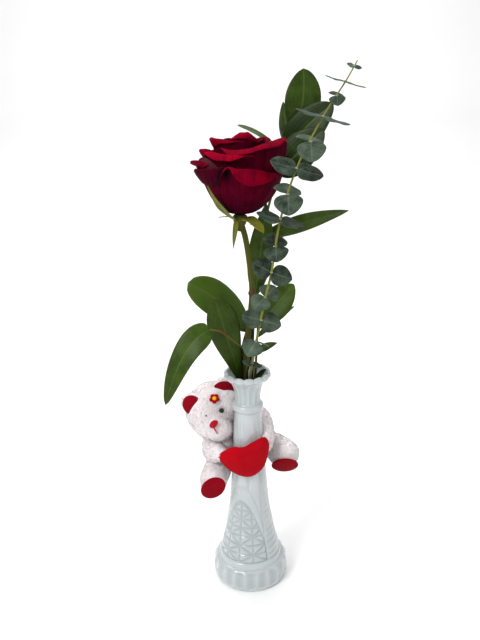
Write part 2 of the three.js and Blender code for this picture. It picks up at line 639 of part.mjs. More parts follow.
function flowerPieces() {
  const corners = 4 * FLOWER.petals;
  const shape = new THREE.Shape(Array.from({ length: corners }, (_, i) => {
    const turn = (i / corners) * 2 * Math.PI;
    const lobe = Math.abs(Math.cos((FLOWER.petals * (turn + Math.PI / 2)) / 2));
    const radius = FLOWER.radius * (0.76 + 0.24 * lobe);
    return new THREE.Vector2(radius * Math.cos(turn), radius * Math.sin(turn));
  }));
  const placed = new THREE.Matrix4().compose(
    FLOWER.centre,
    new THREE.Quaternion().setFromEuler(new THREE.Euler(Math.PI / 2 - FLOWER.lean, 0, 0)),
    at(1, 1, 1),
  );
  const disc = new THREE.ExtrudeGeometry(shape, { depth: FLOWER.thickness, bevelEnabled: false });
  const button = new THREE.CylinderGeometry(1.7, 2.1, 0.9, 12).rotateX(Math.PI / 2);
  button.translate(0, 0, FLOWER.thickness + GAP + 0.45);
  return [solidFromGeometry(disc, placed), solidFromGeometry(button, placed)];
}

// Colours and finishes
const finish = (color, roughness) => new THREE.MeshStandardMaterial({ color, roughness, metalness: 0 });
const milkGlass = () => finish(0xeef1f0, 0.15);
const petalRed = () => finish(0x7d0414, 0.75);
const roseGreen = () => finish(0x5f6b22, 0.6);
const eucalyptusGreen = () => finish(0x6d8578, 0.65);
const ruscusGreen = () => finish(0x24481c, 0.4);
const plush = () => finish(0xeee6e4, 0.95);
const redFelt = () => finish(0xb40414, 0.9);
const eyeBlack = () => finish(0x0a0a0c, 0.2);
const yellowFelt = () => finish(0xf2c40a, 0.8);
const clearWater = () => finish(0xcfe0e4, 0.05);

const object = new THREE.Group();

function addNode(name, solid, material) {
  const mesh = new THREE.Mesh(geometryFrom(solid), material);
  mesh.name = name;
  object.add(mesh);
}

addNode('vase', vaseSolid(), milkGlass());
addNode('water', waterSolid(), clearWater());
addNode('rose_bloom', bloomSolid(), petalRed());
addNode('rose_stem', roseStemSolid(), roseGreen());
addNode('eucalyptus_sprig', eucalyptusSolid(), eucalyptusGreen());
Object.keys(RUSCUS_LEAVES).forEach((name) => addNode(`ruscus_${name}`, ruscusSolid(name), ruscusGreen()));

// The bear's pieces, each cut clear of the vase and of the pieces named before it
const room = vaseRoom();
const [flower, flowerCentre] = flowerPieces();
const trims = [...Object.values(LININGS), NOSE, ...Object.values(EYES)];
const head = without(headSolid(), [room, ...trims.map((trim) => spot(trim, TRIM_SIDES, GAP))]);
addNode('bear_head', largestBody(head), plush());
addNode('bear_ear_lining_left', spot(LININGS.left, TRIM_SIDES), redFelt());
addNode('bear_ear_lining_right', spot(LININGS.right, TRIM_SIDES), redFelt());
addNode('bear_nose', spot(NOSE, TRIM_SIDES), redFelt());
addNode('bear_eye_left', spot(EYES.left, TRIM_SIDES), eyeBlack());
addNode('bear_eye_right', spot(EYES.right, TRIM_SIDES), eyeBlack());
addNode('bear_flower', flower, redFelt());
addNode('bear_flower_centre', flowerCentre, yellowFelt());
addNode('bear_heart', largestBody(heartSolid().subtract(room)), redFelt());

const taken = [room, headSolid(GAP), heartSolid(GAP)];
const soles = Object.values(SOLES).map((sole) => spot(sole, SOLE_SIDES, GAP));
Object.entries(LIMBS).forEach(([name, limb]) => {
  const cutters = name.includes('leg') ? [...taken, ...soles] : taken;
  const solid = largestBody(without(limbSolid(limb), cutters));
  addNode(name, solid, plush());
  taken.push(limbSolid(limb, GAP), solid);
});
addNode('bear_sole_left', spot(SOLES.left, SOLE_SIDES), redFelt());
addNode('bear_sole_right', spot(SOLES.right, SOLE_SIDES), redFelt());
const torso = union([
  ellipsoid(at(-8, 38, 143), [24, 20, 32], [0, -0.25, 0], 10),
  ellipsoid(at(-23, 14, 149), [12, 16, 13], [0, 0, 0], 8),
]);
addNode('bear_torso', largestBody(without(torso, taken)), plush());

export default object;
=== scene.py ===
"""A cut rose in a pressed milk-glass bud vase, with eucalyptus, ruscus and a small plush bear that hugs
the vase. Sizes are in millimetres, in the same frame as the solids: the front looks along -Y, +Z is up."""
import math
from dataclasses import dataclass, replace

import bpy
import numpy as np
from mathutils import Matrix, Vector


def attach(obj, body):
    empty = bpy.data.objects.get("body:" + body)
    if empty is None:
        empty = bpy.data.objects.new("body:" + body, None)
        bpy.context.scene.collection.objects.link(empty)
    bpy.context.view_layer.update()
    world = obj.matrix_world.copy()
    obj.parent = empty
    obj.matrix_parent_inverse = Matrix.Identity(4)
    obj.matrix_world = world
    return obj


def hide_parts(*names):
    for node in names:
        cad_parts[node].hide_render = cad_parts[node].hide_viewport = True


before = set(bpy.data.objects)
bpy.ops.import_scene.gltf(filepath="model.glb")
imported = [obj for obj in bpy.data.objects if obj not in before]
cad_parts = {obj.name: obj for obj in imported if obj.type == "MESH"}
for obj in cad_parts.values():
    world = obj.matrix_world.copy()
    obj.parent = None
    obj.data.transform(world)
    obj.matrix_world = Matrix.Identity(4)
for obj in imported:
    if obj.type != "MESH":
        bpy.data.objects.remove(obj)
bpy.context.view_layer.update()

MM = 0.001
SHEET_RIM = 0.35
RNG = np.random.default_rng(7)


def vec(x, y, z):
    return np.array([x, y, z], float)


def unit(vectors):
    return vectors / np.maximum(np.linalg.norm(vectors, axis=-1, keepdims=True), 1e-9)


def step(low, high, value):
    """Smooth step from 0 at low to 1 at high"""
    share = np.clip((value - low) / (high - low), 0, 1)
    return share * share * (3 - 2 * share)


def around(sides):
    """Angles of one full turn, from 0"""
    return np.arange(sides) / sides * 2 * math.pi


# Curves
def hermite(t, start, leave, arrive, end):
    """Cubic curve from start to end, by the slopes with which it leaves and arrives"""
    curve = (2 * t**3 - 3 * t**2 + 1) * start + (t**3 - 2 * t**2 + t) * leave
    return curve + (3 * t**2 - 2 * t**3) * end + (t**3 - t**2) * arrive


def through(x, xs, ys):
    """Values at x of a smooth curve through the points xs, ys that doesn't overshoot them"""
    xs = np.asarray(xs, float)
    ys = np.asarray(ys, float)
    gaps = np.diff(xs)
    rises = np.diff(ys) / gaps
    slopes = np.zeros(len(xs))
    slopes[0] = rises[0]
    slopes[-1] = rises[-1]
    for i in range(1, len(xs) - 1):
        if rises[i - 1] * rises[i] > 0:
            slopes[i] = 2 * rises[i - 1] * rises[i] / (rises[i - 1] + rises[i])
    i = np.clip(np.searchsorted(xs, x) - 1, 0, len(xs) - 2)
    t = np.clip((x - xs[i]) / gaps[i], 0, 1)
    return hermite(t, ys[i], gaps[i] * slopes[i], gaps[i] * slopes[i + 1], ys[i + 1])


def smooth_curve(path, count, closed=False):
    """Points along a centripetal Catmull-Rom curve, evenly spaced in its parameter"""
    path = np.asarray(path, float)
    total = len(path)
    spans = total if closed else total - 1
    if closed:
        padded = np.vstack([path[-1], path, path[:2]])
    else:
        padded = np.vstack([2 * path[0] - path[1], path, 2 * path[-1] - path[-2]])
    marks = np.linspace(0, spans, count, endpoint=not closed)
    index = np.minimum(marks.astype(int), spans - 1)
    t = (marks - index)[:, None]
    p0, p1, p2, p3 = (padded[index + k] for k in range(4))
    d0, d1, d2 = (
        np.maximum(np.linalg.norm(b - a, axis=1, keepdims=True), 1e-6) ** 0.5
        for a, b in ((p0, p1), (p1, p2), (p2, p3))
    )
    leave = ((p1 - p0) / d0 - (p2 - p0) / (d0 + d1) + (p2 - p1) / d1) * d1
    arrive = ((p2 - p1) / d1 - (p3 - p1) / (d1 + d2) + (p3 - p2) / d2) * d1
    return hermite(t, p1, leave, arrive, p2)


# Meshes as points and faces
def circle(turns):
    """Points on the unit circle in the XY plane"""
    return np.stack([np.cos(turns), np.sin(turns), np.zeros(len(turns))], 1)


def lathe(rings, first, last):
    """Closed form from rings of points and a pole at each end, anticlockwise as seen from the last"""
    count, sides = rings.shape[:2]
    points = np.vstack([first[None], rings.reshape(-1, 3), last[None]])
    ring = np.arange(sides)
    after = (ring + 1) % sides
    faces = [np.stack([np.zeros(sides, int), 1 + after, 1 + ring], 1)]
    for i in range(count - 1):
        low = 1 + i * sides
        high = low + sides
        faces.append(np.stack([low + ring, low + after, high + after, high + ring], 1))
    high = 1 + (count - 1) * sides
    faces.append(np.stack([np.full(sides, len(points) - 1), high + ring, high + after], 1))
    return points, faces


def sheet(grid, thickness):
    """Closed sheet round a grid of mid-surface points, thinner at its rim, and each point's place on it"""
    rows, columns = grid.shape[:2]
    normal = unit(np.cross(np.gradient(grid, axis=1), np.gradient(grid, axis=0)))
    taper = np.full((rows, columns, 1), 1.0)
    taper[0] = taper[-1] = taper[:, 0] = taper[:, -1] = SHEET_RIM
    half = normal * thickness / 2 * taper
    points = np.vstack([(grid + half).reshape(-1, 3), (grid - half).reshape(-1, 3)])
    a = (np.arange(rows - 1)[:, None] * columns + np.arange(columns - 1)).ravel()
    under = rows * columns
    top = np.stack([a, a + 1, a + 1 + columns, a + columns], 1)
    bottom = top[:, ::-1] + under
    rim = np.concatenate([
        np.arange(columns),
        np.arange(1, rows) * columns + columns - 1,
        (rows - 1) * columns + np.arange(columns - 2, -1, -1),
        np.arange(rows - 2, 0, -1) * columns,
    ])
    following = np.roll(rim, -1)
    side = np.stack([rim, rim + under, following + under, following], 1)
    along, across = np.meshgrid(np.linspace(0, 1, rows), np.linspace(-1, 1, columns), indexing="ij")
    marks = {
        "along": np.tile(along.ravel(), 2),
        "across": np.tile(across.ravel(), 2),
        "under": np.repeat([0.0, 1.0], under),
    }
    return points, [top, bottom, side], marks


def tube(path, radii, sides, count, dome=0.0):
    """Round tube along a smooth curve. dome is how far each end bulges, as a share of its radius."""
    centres = smooth_curve(path, count)
    along = unit(np.gradient(centres, axis=0))
    sideways = unit(np.cross(vec(0, 1, 0.01), along))
    forwards = np.cross(along, sideways)
    radius = np.interp(np.linspace(0, 1, count), np.linspace(0, 1, len(radii)), radii)
    turns = around(sides)

    def ring(i, shrink=1.0, shift=0.0):
        centre = centres[i] + along[i] * shift * radius[i]
        return centre + shrink * radius[i] * (
            np.cos(turns)[:, None] * sideways[i] + np.sin(turns)[:, None] * forwards[i]
        )

    caps = [math.radians(angle) for angle in (75, 60, 45, 30, 15)] if dome else []
    start = [ring(0, math.cos(cap), -dome * math.sin(cap)) for cap in caps]
    end = [ring(-1, math.cos(cap), dome * math.sin(cap)) for cap in reversed(caps)]
    rings = np.array(start + [ring(i) for i in range(count)] + end)
    first = centres[0] - along[0] * dome * radius[0]
    last = centres[-1] + along[-1] * dome * radius[-1]
    return lathe(rings, first, last)


def ellipsoid(centre, radii, turn=(0, 0, 0), sides=32):
    """Ellipsoid turned by Euler angles about X, Y and Z, as the solids are"""
    rise = np.linspace(-math.pi / 2, math.pi / 2, sides // 2 + 1)[1:-1]
    top = vec(0, 0, 1)
    rings = np.cos(rise)[:, None, None] * circle(around(sides)) + np.sin(rise)[:, None, None] * top
    points, faces = lathe(rings, -top, top)
    return (points * np.array(radii)) @ rotated(turn).T + np.array(centre, float), faces


def rotated(turn):
    """Rotation by Euler angles that applies Z first, then Y, then X"""
    x, y, z = turn
    return np.array(Matrix.Rotation(x, 3, "X") @ Matrix.Rotation(y, 3, "Y") @ Matrix.Rotation(z, 3, "Z"))


def scene_object(name, data):
    obj = bpy.data.objects.new(name, data)
    bpy.context.scene.collection.objects.link(obj)
    return obj


class Parts:
    """Meshes gathered into one piece, with a material index and marks that the shaders read"""

    def __init__(self, *marks):
        self.points = []
        self.faces = []
        self.materials = []
        self.marks = {name: [] for name in marks}
        self.total = 0

    def add(self, points, faces, material=0, **marks):
        self.points.append(points)
        for block in faces:
            self.faces.append(block + self.total)
            self.materials.append(np.full(len(block), material))
        for name, values in self.marks.items():
            values.append(np.broadcast_to(marks.get(name, 0.0), len(points)))
        self.total += len(points)

    def piece(self, name, *finishes):
        points = np.vstack(self.points) * MM
        faces = [face for block in self.faces for face in block.tolist()]
        mesh = bpy.data.meshes.new(name)
        mesh.from_pydata(points.tolist(), [], faces)
        for mark, values in self.marks.items():
            attribute = mesh.attributes.new(mark, "FLOAT", "POINT")
            attribute.data.foreach_set("value", np.concatenate(values).astype(np.float32))
        mesh.polygons.foreach_set("use_smooth", np.ones(len(faces), bool))
        mesh.polygons.foreach_set("material_index", np.concatenate(self.materials).astype(np.int32))
        for finish in finishes:
            mesh.materials.append(finish.material)
        return scene_object(name, mesh)


def solid(name, forms, *finishes):
    """One piece from several forms, each its points and faces"""
    parts = Parts()
    for points, faces in forms:
        parts.add(points, faces)
    return parts.piece(name, *finishes)


def place(obj, slot, *nodes):
    """The piece moves with the object and stands for its solids, which it hides. slot is not used."""
    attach(obj, "root")
    if nodes:
        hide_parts(*nodes)
    return obj


# Materials
class Finish:
    """A Principled material and short calls for the nodes that feed it"""

    def __init__(self, name, **values):
        self.material = bpy.data.materials.new(name)
        self.material.use_nodes = True
        self.nodes = self.material.node_tree.nodes
        self.links = self.material.node_tree.links
        self.shader = self.nodes["Principled BSDF"]
        for socket, value in values.items():
            self.shader.inputs[socket.replace("_", " ")].default_value = value

    def new(self, kind, inputs, **settings):
        node = self.nodes.new(kind)
        for setting, value in settings.items():
            setattr(node, setting, value)
        for socket, value in inputs.items():
            if isinstance(value, bpy.types.NodeSocket):
                self.links.new(value, node.inputs[socket])
            else:
                node.inputs[socket].default_value = value
        return node

    def place(self):
        return self.nodes.new("ShaderNodeTexCoord").outputs["Object"]

    def mark(self, name):
        return self.new("ShaderNodeAttribute", {}, attribute_name=name).outputs["Fac"]

    def noise(self, scale, detail=3.0, roughness=0.55, where=None):
        inputs = {"Vector": where or self.place(), "Scale": scale, "Detail": detail, "Roughness": roughness}
        return self.new("ShaderNodeTexNoise", inputs).outputs["Fac"]

    def math(self, operation, *values):
        return self.new("ShaderNodeMath", dict(enumerate(values)), operation=operation).outputs[0]

    def scaled(self, value, factor, plus=0.0):
        return self.math("MULTIPLY_ADD", value, factor, plus)

    def ramp(self, factor, *stops):
        node = self.new("ShaderNodeValToRGB", {"Fac": factor})
        elements = node.color_ramp.elements
        while len(elements) < len(stops):
            elements.new(0.5)
        for element, (position, colour) in zip(elements, stops):
            element.position = position
            element.color = (*colour, 1)
        return node.outputs["Color"]

    def level(self, factor, low, high, start=0.0, end=1.0):
        """A number that goes from start to end as factor goes from low to high"""
        inputs = {"Value": factor, "From Min": low, "From Max": high, "To Min": start, "To Max": end}
        return self.new("ShaderNodeMapRange", inputs).outputs["Result"]

    def mix(self, factor, under, over):
        inputs = {"Factor": factor}
        for socket, colour in ((6, under), (7, over)):
            inputs[socket] = colour if isinstance(colour, bpy.types.NodeSocket) else (*colour, 1)
        return self.new("ShaderNodeMix", inputs, data_type="RGBA").outputs[2]

    def feed(self, **sockets):
        for socket, value in sockets.items():
            self.links.new(value, self.shader.inputs[socket.replace("_", " ")])

    def bump(self, height, distance):
        """Relief of the given depth in millimetres"""
        inputs = {"Height": height, "Distance": distance * MM}
        self.feed(Normal=self.new("ShaderNodeBump", inputs).outputs["Normal"])


def milk_glass():
    finish = Finish("milk_glass", Coat_Weight=0.5, Coat_Roughness=0.06, Subsurface_Weight=0.25,
                    Subsurface_Radius=(1, 1, 1.1), Subsurface_Scale=2 * MM)
    cloud = finish.ramp(finish.noise(30, 4), (0.3, (0.46, 0.505, 0.51)), (0.7, (0.52, 0.55, 0.565)))
    # The pressed pattern's grooves are painted a darker grey, as painted shade in the hollows of the relief.
    finish.feed(Base_Color=finish.mix(finish.mark("groove"), cloud, (0.36, 0.405, 0.405)))
    finish.feed(Roughness=finish.level(finish.noise(90), 0.3, 0.7, 0.14, 0.28))
    finish.bump(finish.noise(260, 3), 0.04)
    return finish


def petal_velvet():
    """Deep red velvet with painted light and shade: darker low on a petal where shade falls inside the
    bloom, brighter on its lip where it catches the light, with fine streaks that fan out
    """
    finish = Finish("petal_velvet", Roughness=0.75, Specular_IOR_Level=0.02, Subsurface_Weight=0.06,
                    Subsurface_Scale=0.6 * MM)
    across = finish.scaled(finish.mark("across"), 20)
    along = finish.scaled(finish.mark("along"), 1.5)
    fan = finish.new("ShaderNodeCombineXYZ", {"X": across, "Y": along, "Z": finish.mark("seed")})
    streaks = finish.noise(1, 5, 0.62, fan.outputs["Vector"])
    cloud = finish.noise(120, 4, 0.6)
    # Each petal's brightness mark paints light and shade: darker low inside the bloom, lighter on lips that
    # catch the light.
    uneven = finish.scaled(finish.math("SUBTRACT", cloud, 0.5), 0.35, finish.mark("glow"))
    light = finish.scaled(finish.math("SUBTRACT", streaks, 0.5), 0.4, uneven)
    tone = finish.ramp(
        light,
        (0.05, (0.01, 0, 0.003)), (0.3, (0.03, 0, 0.006)), (0.5, (0.07, 0, 0.009)),
        (0.72, (0.22, 0, 0.012)), (1, (0.44, 0, 0.01)),
    )
    # Near-black along the crease in the front petal's lip.
    tone = finish.mix(finish.mark("bruise"), tone, (0.003, 0.001, 0.002))
    finish.feed(Base_Color=finish.mix(finish.mark("mauve"), tone, (0.095, 0.022, 0.03)))
    finish.bump(finish.scaled(finish.noise(900, 2), 0.4, streaks), 0.35)
    return finish


def leaf_finish(name, dark, light, pale, veins, vein_depth, roughness, gloss, scale=60):
    """Leaf: mottled between two tones, with a paler back and a vein pattern from the leaf's own place"""
    finish = Finish(name, Coat_Weight=gloss, Coat_Roughness=0.3, Specular_IOR_Level=0.15,
                    Subsurface_Weight=0.05, Subsurface_Scale=1 * MM)
    width = finish.math("ABSOLUTE", finish.mark("across"))
    if veins == "parallel":
        midrib = 0.6
        warp = finish.scaled(finish.noise(45, 2), 5, finish.scaled(width, 34))
    else:
        midrib = 0.25
        slant = finish.scaled(width, -0.45, finish.mark("along"))
        warp = finish.scaled(finish.noise(90, 3), 6, finish.scaled(slant, 38))
    line = finish.math("SINE", warp)
    mottle = finish.math("ADD", finish.noise(scale, 5, 0.65), finish.mark("tint"))
    tone = finish.ramp(mottle, (0.3, dark), (0.8, light))
    tone = finish.mix(finish.level(width, 0, 0.08, midrib, 0), tone, pale)
    tone = finish.mix(finish.level(line, 0.6, 1, 0, vein_depth), tone, pale)
    finish.feed(Base_Color=finish.mix(finish.scaled(finish.mark("under"), 0.5), tone, pale))
    uneven = finish.noise(scale * 2, 3)
    finish.feed(Roughness=finish.level(uneven, 0.3, 0.7, roughness - 0.07, roughness + 0.1))
    finish.bump(finish.scaled(line, 0.25, finish.noise(500, 3)), 0.12)
    return finish


def stem_finish(name, low, high, knuckle, knuckle_height):
    """Stem: its colour goes from low to high up the stem and turns to knuckle's near one height"""
    finish = Finish(name, Roughness=0.5, Specular_IOR_Level=0.15)
    height = finish.new("ShaderNodeSeparateXYZ", {"Vector": finish.place()}).outputs["Z"]
    tone = finish.ramp(finish.level(height, 0.22, 0.29), (0, low), (1, high))
    streak = finish.new("ShaderNodeMapping", {"Vector": finish.place(), "Scale": (1, 1, 0.12)})
    grain = finish.noise(400, 4, 0.6, streak.outputs["Vector"])
    tone = finish.mix(finish.level(grain, 0.45, 0.75, 0, 0.5), tone, knuckle)
    away = finish.math("ABSOLUTE", finish.math("SUBTRACT", height, knuckle_height * MM))
    finish.feed(Base_Color=finish.mix(finish.level(away, 0, 0.009, 0.85, 0), tone, knuckle))
    finish.bump(grain, 0.15)
    return finish


def plush_finish(name, shaded_valley, tip, relief, tuft=420, sheen=0.15):
    """Short pile: two close tones in small tufts, the darker one painted shade in the hollows between them,
    with a soft sheen
    """
    finish = Finish(name, Roughness=0.95, Sheen_Weight=sheen, Sheen_Roughness=0.6, Specular_IOR_Level=0.1)
    tufts = finish.noise(tuft, 4, 0.7)
    blend = finish.scaled(tufts, 0.6, finish.scaled(finish.noise(60, 3, 0.5), 0.4))
    finish.feed(Base_Color=finish.ramp(blend, (0.38, shaded_valley), (0.62, tip)))
    finish.bump(tufts, relief)
    return finish


def stitch_finish():
    """Satin stitch: fine threads side by side, with painted shade darkening the hollows between them"""
    finish = Finish("satin_stitch", Roughness=0.5, Specular_IOR_Level=0.15)
    place = finish.new("ShaderNodeSeparateXYZ", {"Vector": finish.place()}).outputs
    slanted = finish.math("ADD", place["X"], place["Z"])
    threads = finish.math("SINE", finish.scaled(slanted, 9000))
    thread = finish.level(threads, -1.0, 1)
    # Painted shade: darker in the hollows between threads.
    finish.feed(Base_Color=finish.ramp(thread, (0, (0.3, 0, 0.01)), (1, (0.62, 0.002, 0.025))))
    finish.bump(threads, 0.08)
    return finish


def water_finish():
    finish = Finish("vase_water", Roughness=0.02, IOR=1.33, Transmission_Weight=1.0)
    tone = finish.ramp(finish.noise(20), (0.3, (0.82, 0.93, 0.92)), (0.7, (0.9, 0.97, 0.95)))
    finish.feed(Base_Color=tone)
    finish.bump(finish.noise(120, 2), 0.05)
    return finish


def eye_finish():
    finish = Finish("eye_bead", Roughness=0.2, Specular_IOR_Level=0.35)
    tone = finish.ramp(finish.noise(900), (0.3, (0.004, 0.004, 0.006)), (0.7, (0.012, 0.012, 0.016)))
    finish.feed(Base_Color=tone)
    return finish


# Camera: at the photograph's place, looking slightly down, with a small roll
CAMERA_PLACE = (-5.8, -551.0, 466.0)
CAMERA_PITCH = 18.7
CAMERA_ROLL = -1.2
SENSOR_HEIGHT = 36.0
PHOTO_HEIGHT = 640.0
FOCAL_PIXELS = 628.0

camera_data = bpy.data.cameras.new("camera")
camera_data.sensor_fit = "VERTICAL"
camera_data.sensor_height = SENSOR_HEIGHT
camera_data.lens = FOCAL_PIXELS / PHOTO_HEIGHT * SENSOR_HEIGHT
camera = scene_object("camera", camera_data)
camera.matrix_world = (
    Matrix.Translation(Vector(CAMERA_PLACE) * MM)
    @ Matrix.Rotation(math.radians(90 - CAMERA_PITCH), 4, "X")
    @ Matrix.Rotation(math.radians(CAMERA_ROLL), 4, "Z")
)
bpy.context.scene.camera = camera


# Vase: a fine skin of revolution with the pressed pattern as relief
VASE_HEIGHT = 229.0
VASE_SIDES = 336
BASE_FLUTES = 20
NECK_FLUTES = 14
NECK_TURN = -86.5
FOOT = [
    (33, 0), (35.6, 0.5), (37, 2.4), (37.8, 5.4), (38.3, 9), (38.4, 13), (38, 17), (36.9, 20.6),
    (34.6, 22.8), (32.4, 23.4),
]
FOOT_STEP = [(32.4, 23.4), (32.1, 24.4), (32, 26), (31.6, 27.6), (30.9, 28.9), (30.1, 29.4)]
CONE = [
    (30.1, 29.4), (29.8, 31.5), (29, 37.5), (27.7, 43), (26.4, 48), (24.9, 55), (23.7, 62.9), (20.9, 79.6),
    (19.2, 96.4), (15.6, 150), (13.1, 184), (12.9, 188.2),
]
COLLAR = [
    (12.9, 188.2), (13.8, 188.7), (14.8, 190.2), (15.3, 192.4), (15, 194.3), (14.1, 195.7), (12.6, 196.5),
]
NECK = [
    (12.6, 196.5), (12.5, 198.5), (12.6, 205), (14, 212.5), (16, 217.6), (17.3, 220.6), (18.6, 221.7),
    (20.6, 221.9), (22.3, 223.3), (22.8, 225.4), (22.1, 227.6), (20.6, 228.8), (19.3, 228.3),
]
BORE = [
    (19.3, 228.3), (18.3, 226.4), (17.2, 223), (14.4, 218), (11.9, 213), (10.1, 205), (10.3, 185),
    (12.2, 150), (16.6, 85), (20.4, 58), (24.8, 40), (28, 27), (31.5, 15), (30.5, 7), (26, 5),
]
RIM_MIDDLE = (20.6, 225.4)
PANEL_TURN = -24.0
PANEL_HALF = 60.0
LATTICE_BASE = 29.2
LATTICE_ROW = 9.3
LATTICE_COLUMN = 30.0
STAR_ROWS = 4
ARCH_TOP = 95.0
ARCH_DROP = 46.0
ARCH_POWER = 2.1
OUTER_ARCH_TOP = 110.0
OUTER_ARCH_DROP = 44.0
OUTER_ARCH_FLAT = 10.0
RIB_SPACING = 6.3
PENDANT_FOOT = 109.0
PENDANT_SPACING = 45.0
PENDANT_TURN = -3.0

# Heights between which each pattern of the vase fades in or out
FLUTES_END = (23.4, 20.5)
OUTER_ARCH_START = (58, 66)
RIBS_END = (130, 116)
PANEL_EDGE_END = (158, 140)
PENDANT_END = (156, 146)
DIMPLES_START = (146, 152)
DIMPLES_END = (183, 176)
NECK_FLUTES_START = (196.6, 199.5)
NECK_FLUTES_END = (221, 215)
BEADS_START = (220.2, 222.5)


def groove(distance, reach, depth):
    """Inset of a V-shaped groove with soft shoulders, by the distance from its line"""
    return depth * np.clip(1 - np.abs(distance) / reach, 0, 1) ** 2


def off_centre(turn, count):
    """0 at the middle of each of count even steps about the vase, 1 where two steps meet"""
    phase = turn * count / 360
    return 2 * np.abs(phase - np.round(phase))


def foot_relief(turn, z):
    """Flutes about the foot, from the ring down to light scallops above the base"""
    offset = off_centre(turn, BASE_FLUTES)
    lower_end = 4.2 + 1.6 * offset**2
    return 1.15 * (1 - offset**1.6) * step(0, 2.2, z - lower_end) * step(*FLUTES_END, z)


def star_lattice(local, z, radius):
    """Grooves of a lattice whose cells are halved so that eight lines meet at each star"""
    column = (local + PANEL_HALF) / LATTICE_COLUMN
    row = (z - LATTICE_BASE) / LATTICE_ROW
    c = np.floor(column)
    k = np.floor(row)
    fx = column - c
    fz = row - k
    wide = radius * math.radians(LATTICE_COLUMN)
    star = np.where(k < STAR_ROWS, (c + k) % 2 == 0, (c + k) % 2 == 1)
    diagonal = wide * LATTICE_ROW / np.hypot(wide, LATTICE_ROW)
    slant = np.where(star, np.abs(fx - fz), np.abs(fx + fz - 1)) * diagonal
    upright = np.minimum(fx, 1 - fx) * wide
    level = np.minimum(fz, 1 - fz) * LATTICE_ROW
    nearest = np.minimum(np.minimum(upright, level), slant)
    return groove(nearest, 2.6, 1.25)


def cone_relief(turn, z, radius):
    """Arched panels of stars, ladders of ribs between, pendants above and small bumps near the collar"""
    local = (turn - PANEL_TURN + 90) % 180 - 90
    side = np.abs(local)
    share = side / PANEL_HALF
    in_panel = share < 1
    arch = ARCH_TOP - ARCH_DROP * share**ARCH_POWER
    per_mm = 1 / (radius * math.radians(1))
    slope = ARCH_DROP * ARCH_POWER / PANEL_HALF * share ** (ARCH_POWER - 1) * per_mm
    from_arch = (z - arch) / np.sqrt(1 + slope**2)
    lattice = star_lattice(local, z, radius) * step(0.0, -1.2, from_arch) + 0.25
    inset = np.where(in_panel & (from_arch < 0), lattice, 0.0)
    inset += np.where(in_panel, groove(from_arch, 1.9, 1.1), 0.0)
    outer_share = np.maximum(side - OUTER_ARCH_FLAT, 0) / (PANEL_HALF - OUTER_ARCH_FLAT)
    outer_arch = OUTER_ARCH_TOP - OUTER_ARCH_DROP * outer_share**2
    inset += np.where(in_panel, groove((z - outer_arch) * 0.6, 2.0, 0.7), 0.0) * step(*OUTER_ARCH_START, z)
    past_panel = (side - PANEL_HALF) / per_mm
    rung = (z - LATTICE_BASE) / RIB_SPACING
    from_groove = RIB_SPACING * (rung - np.round(rung))
    ribs = groove(from_groove, 1.7, 0.85) + 0.04 * from_groove**2
    inset += ribs * step(0.8, 3.2, past_panel) * step(*RIBS_END, z)
    inset += groove(past_panel, 2.4, 0.8) * step(*PANEL_EDGE_END, z)
    half = PENDANT_SPACING / 2
    pendant = np.abs((turn - PENDANT_TURN + half) % PENDANT_SPACING - half)
    inside = (z - PENDANT_FOOT) * 0.6 - pendant
    inset += (0.75 * step(0, 2.5, inside) + groove(inside * 0.5, 1.6, 0.5)) * step(*PENDANT_END, z)
    dimples = np.sin(np.radians(turn) * 12 + z * 0.9) * np.sin(z * 0.75 + 2 * np.sin(np.radians(turn) * 5))
    return inset + 0.5 * dimples * step(*DIMPLES_START, z) * step(*DIMPLES_END, z)


def neck_relief(turn, z):
    """Flutes between soft ridges, which fade out as the neck flares"""
    flutes = np.abs(np.sin(np.radians(turn - NECK_TURN) * NECK_FLUTES / 2))
    return 0.85 * flutes**0.8 * step(*NECK_FLUTES_START, z) * step(*NECK_FLUTES_END, z)


def beaded(turn, radius, z):
    """The rim's round section, drawn in towards its middle from each bead to the next"""
    drawn = 1 - np.sqrt(1 - 0.72 * off_centre(turn - NECK_TURN, NECK_FLUTES) ** 2)
    scale = 1 - drawn * step(*BEADS_START, z)
    middle_radius, middle_height = RIM_MIDDLE
    return middle_radius + (radius - middle_radius) * scale, middle_height + (z - middle_height) * scale


def vase_rings():
    """Rings of the skin from the underside to the bore's floor, and each point's depth in the relief"""
    turns = np.arange(VASE_SIDES) / VASE_SIDES * 360.0 - 180.0
    front = turns + 90.0
    plain = np.zeros(VASE_SIDES)
    reliefs = [
        (FOOT, 1.1, lambda radius, z: foot_relief(front, z)),
        (FOOT_STEP, 0.9, lambda radius, z: plain),
        (CONE, 0.85, lambda radius, z: cone_relief(front, z, radius)),
        (COLLAR, 0.7, lambda radius, z: plain),
        (NECK, 0.8, lambda radius, z: neck_relief(turns, z)),
        (BORE, 8.0, lambda radius, z: plain),
    ]
    rings = []
    insets = []
    for profile, spacing, relief in reliefs:
        length = np.sum(np.hypot(*np.diff(np.array(profile), axis=0).T))
        outline = smooth_curve([(r, 0, z) for r, z in profile], max(int(length / spacing), 8))
        for radius, _, z in outline[1 if rings else 0:]:
            inset = relief(radius, z)
            wide, high = beaded(turns, radius - inset, z)
            ring = circle(np.radians(turns)) * wide[:, None]
            ring[:, 2] = high
            rings.append(ring)
            insets.append(inset)
    return np.array(rings), np.array(insets)


def vase_piece():
    rings, insets = vase_rings()
    points, faces = lathe(rings, vec(0, 0, 0), vec(0, 0, BORE[-1][1]))
    # Each point's depth in the relief, which the glass paints darker as painted shade in its grooves.
    marks = np.concatenate([[0.0], np.clip(insets.ravel() / 1.5, 0, 1), [0.0]])
    parts = Parts("groove")
    parts.add(points, faces, groove=marks)
    return place(parts.piece("vase_glass", milk_glass()), "milk_glass", "vase")


vase_piece()


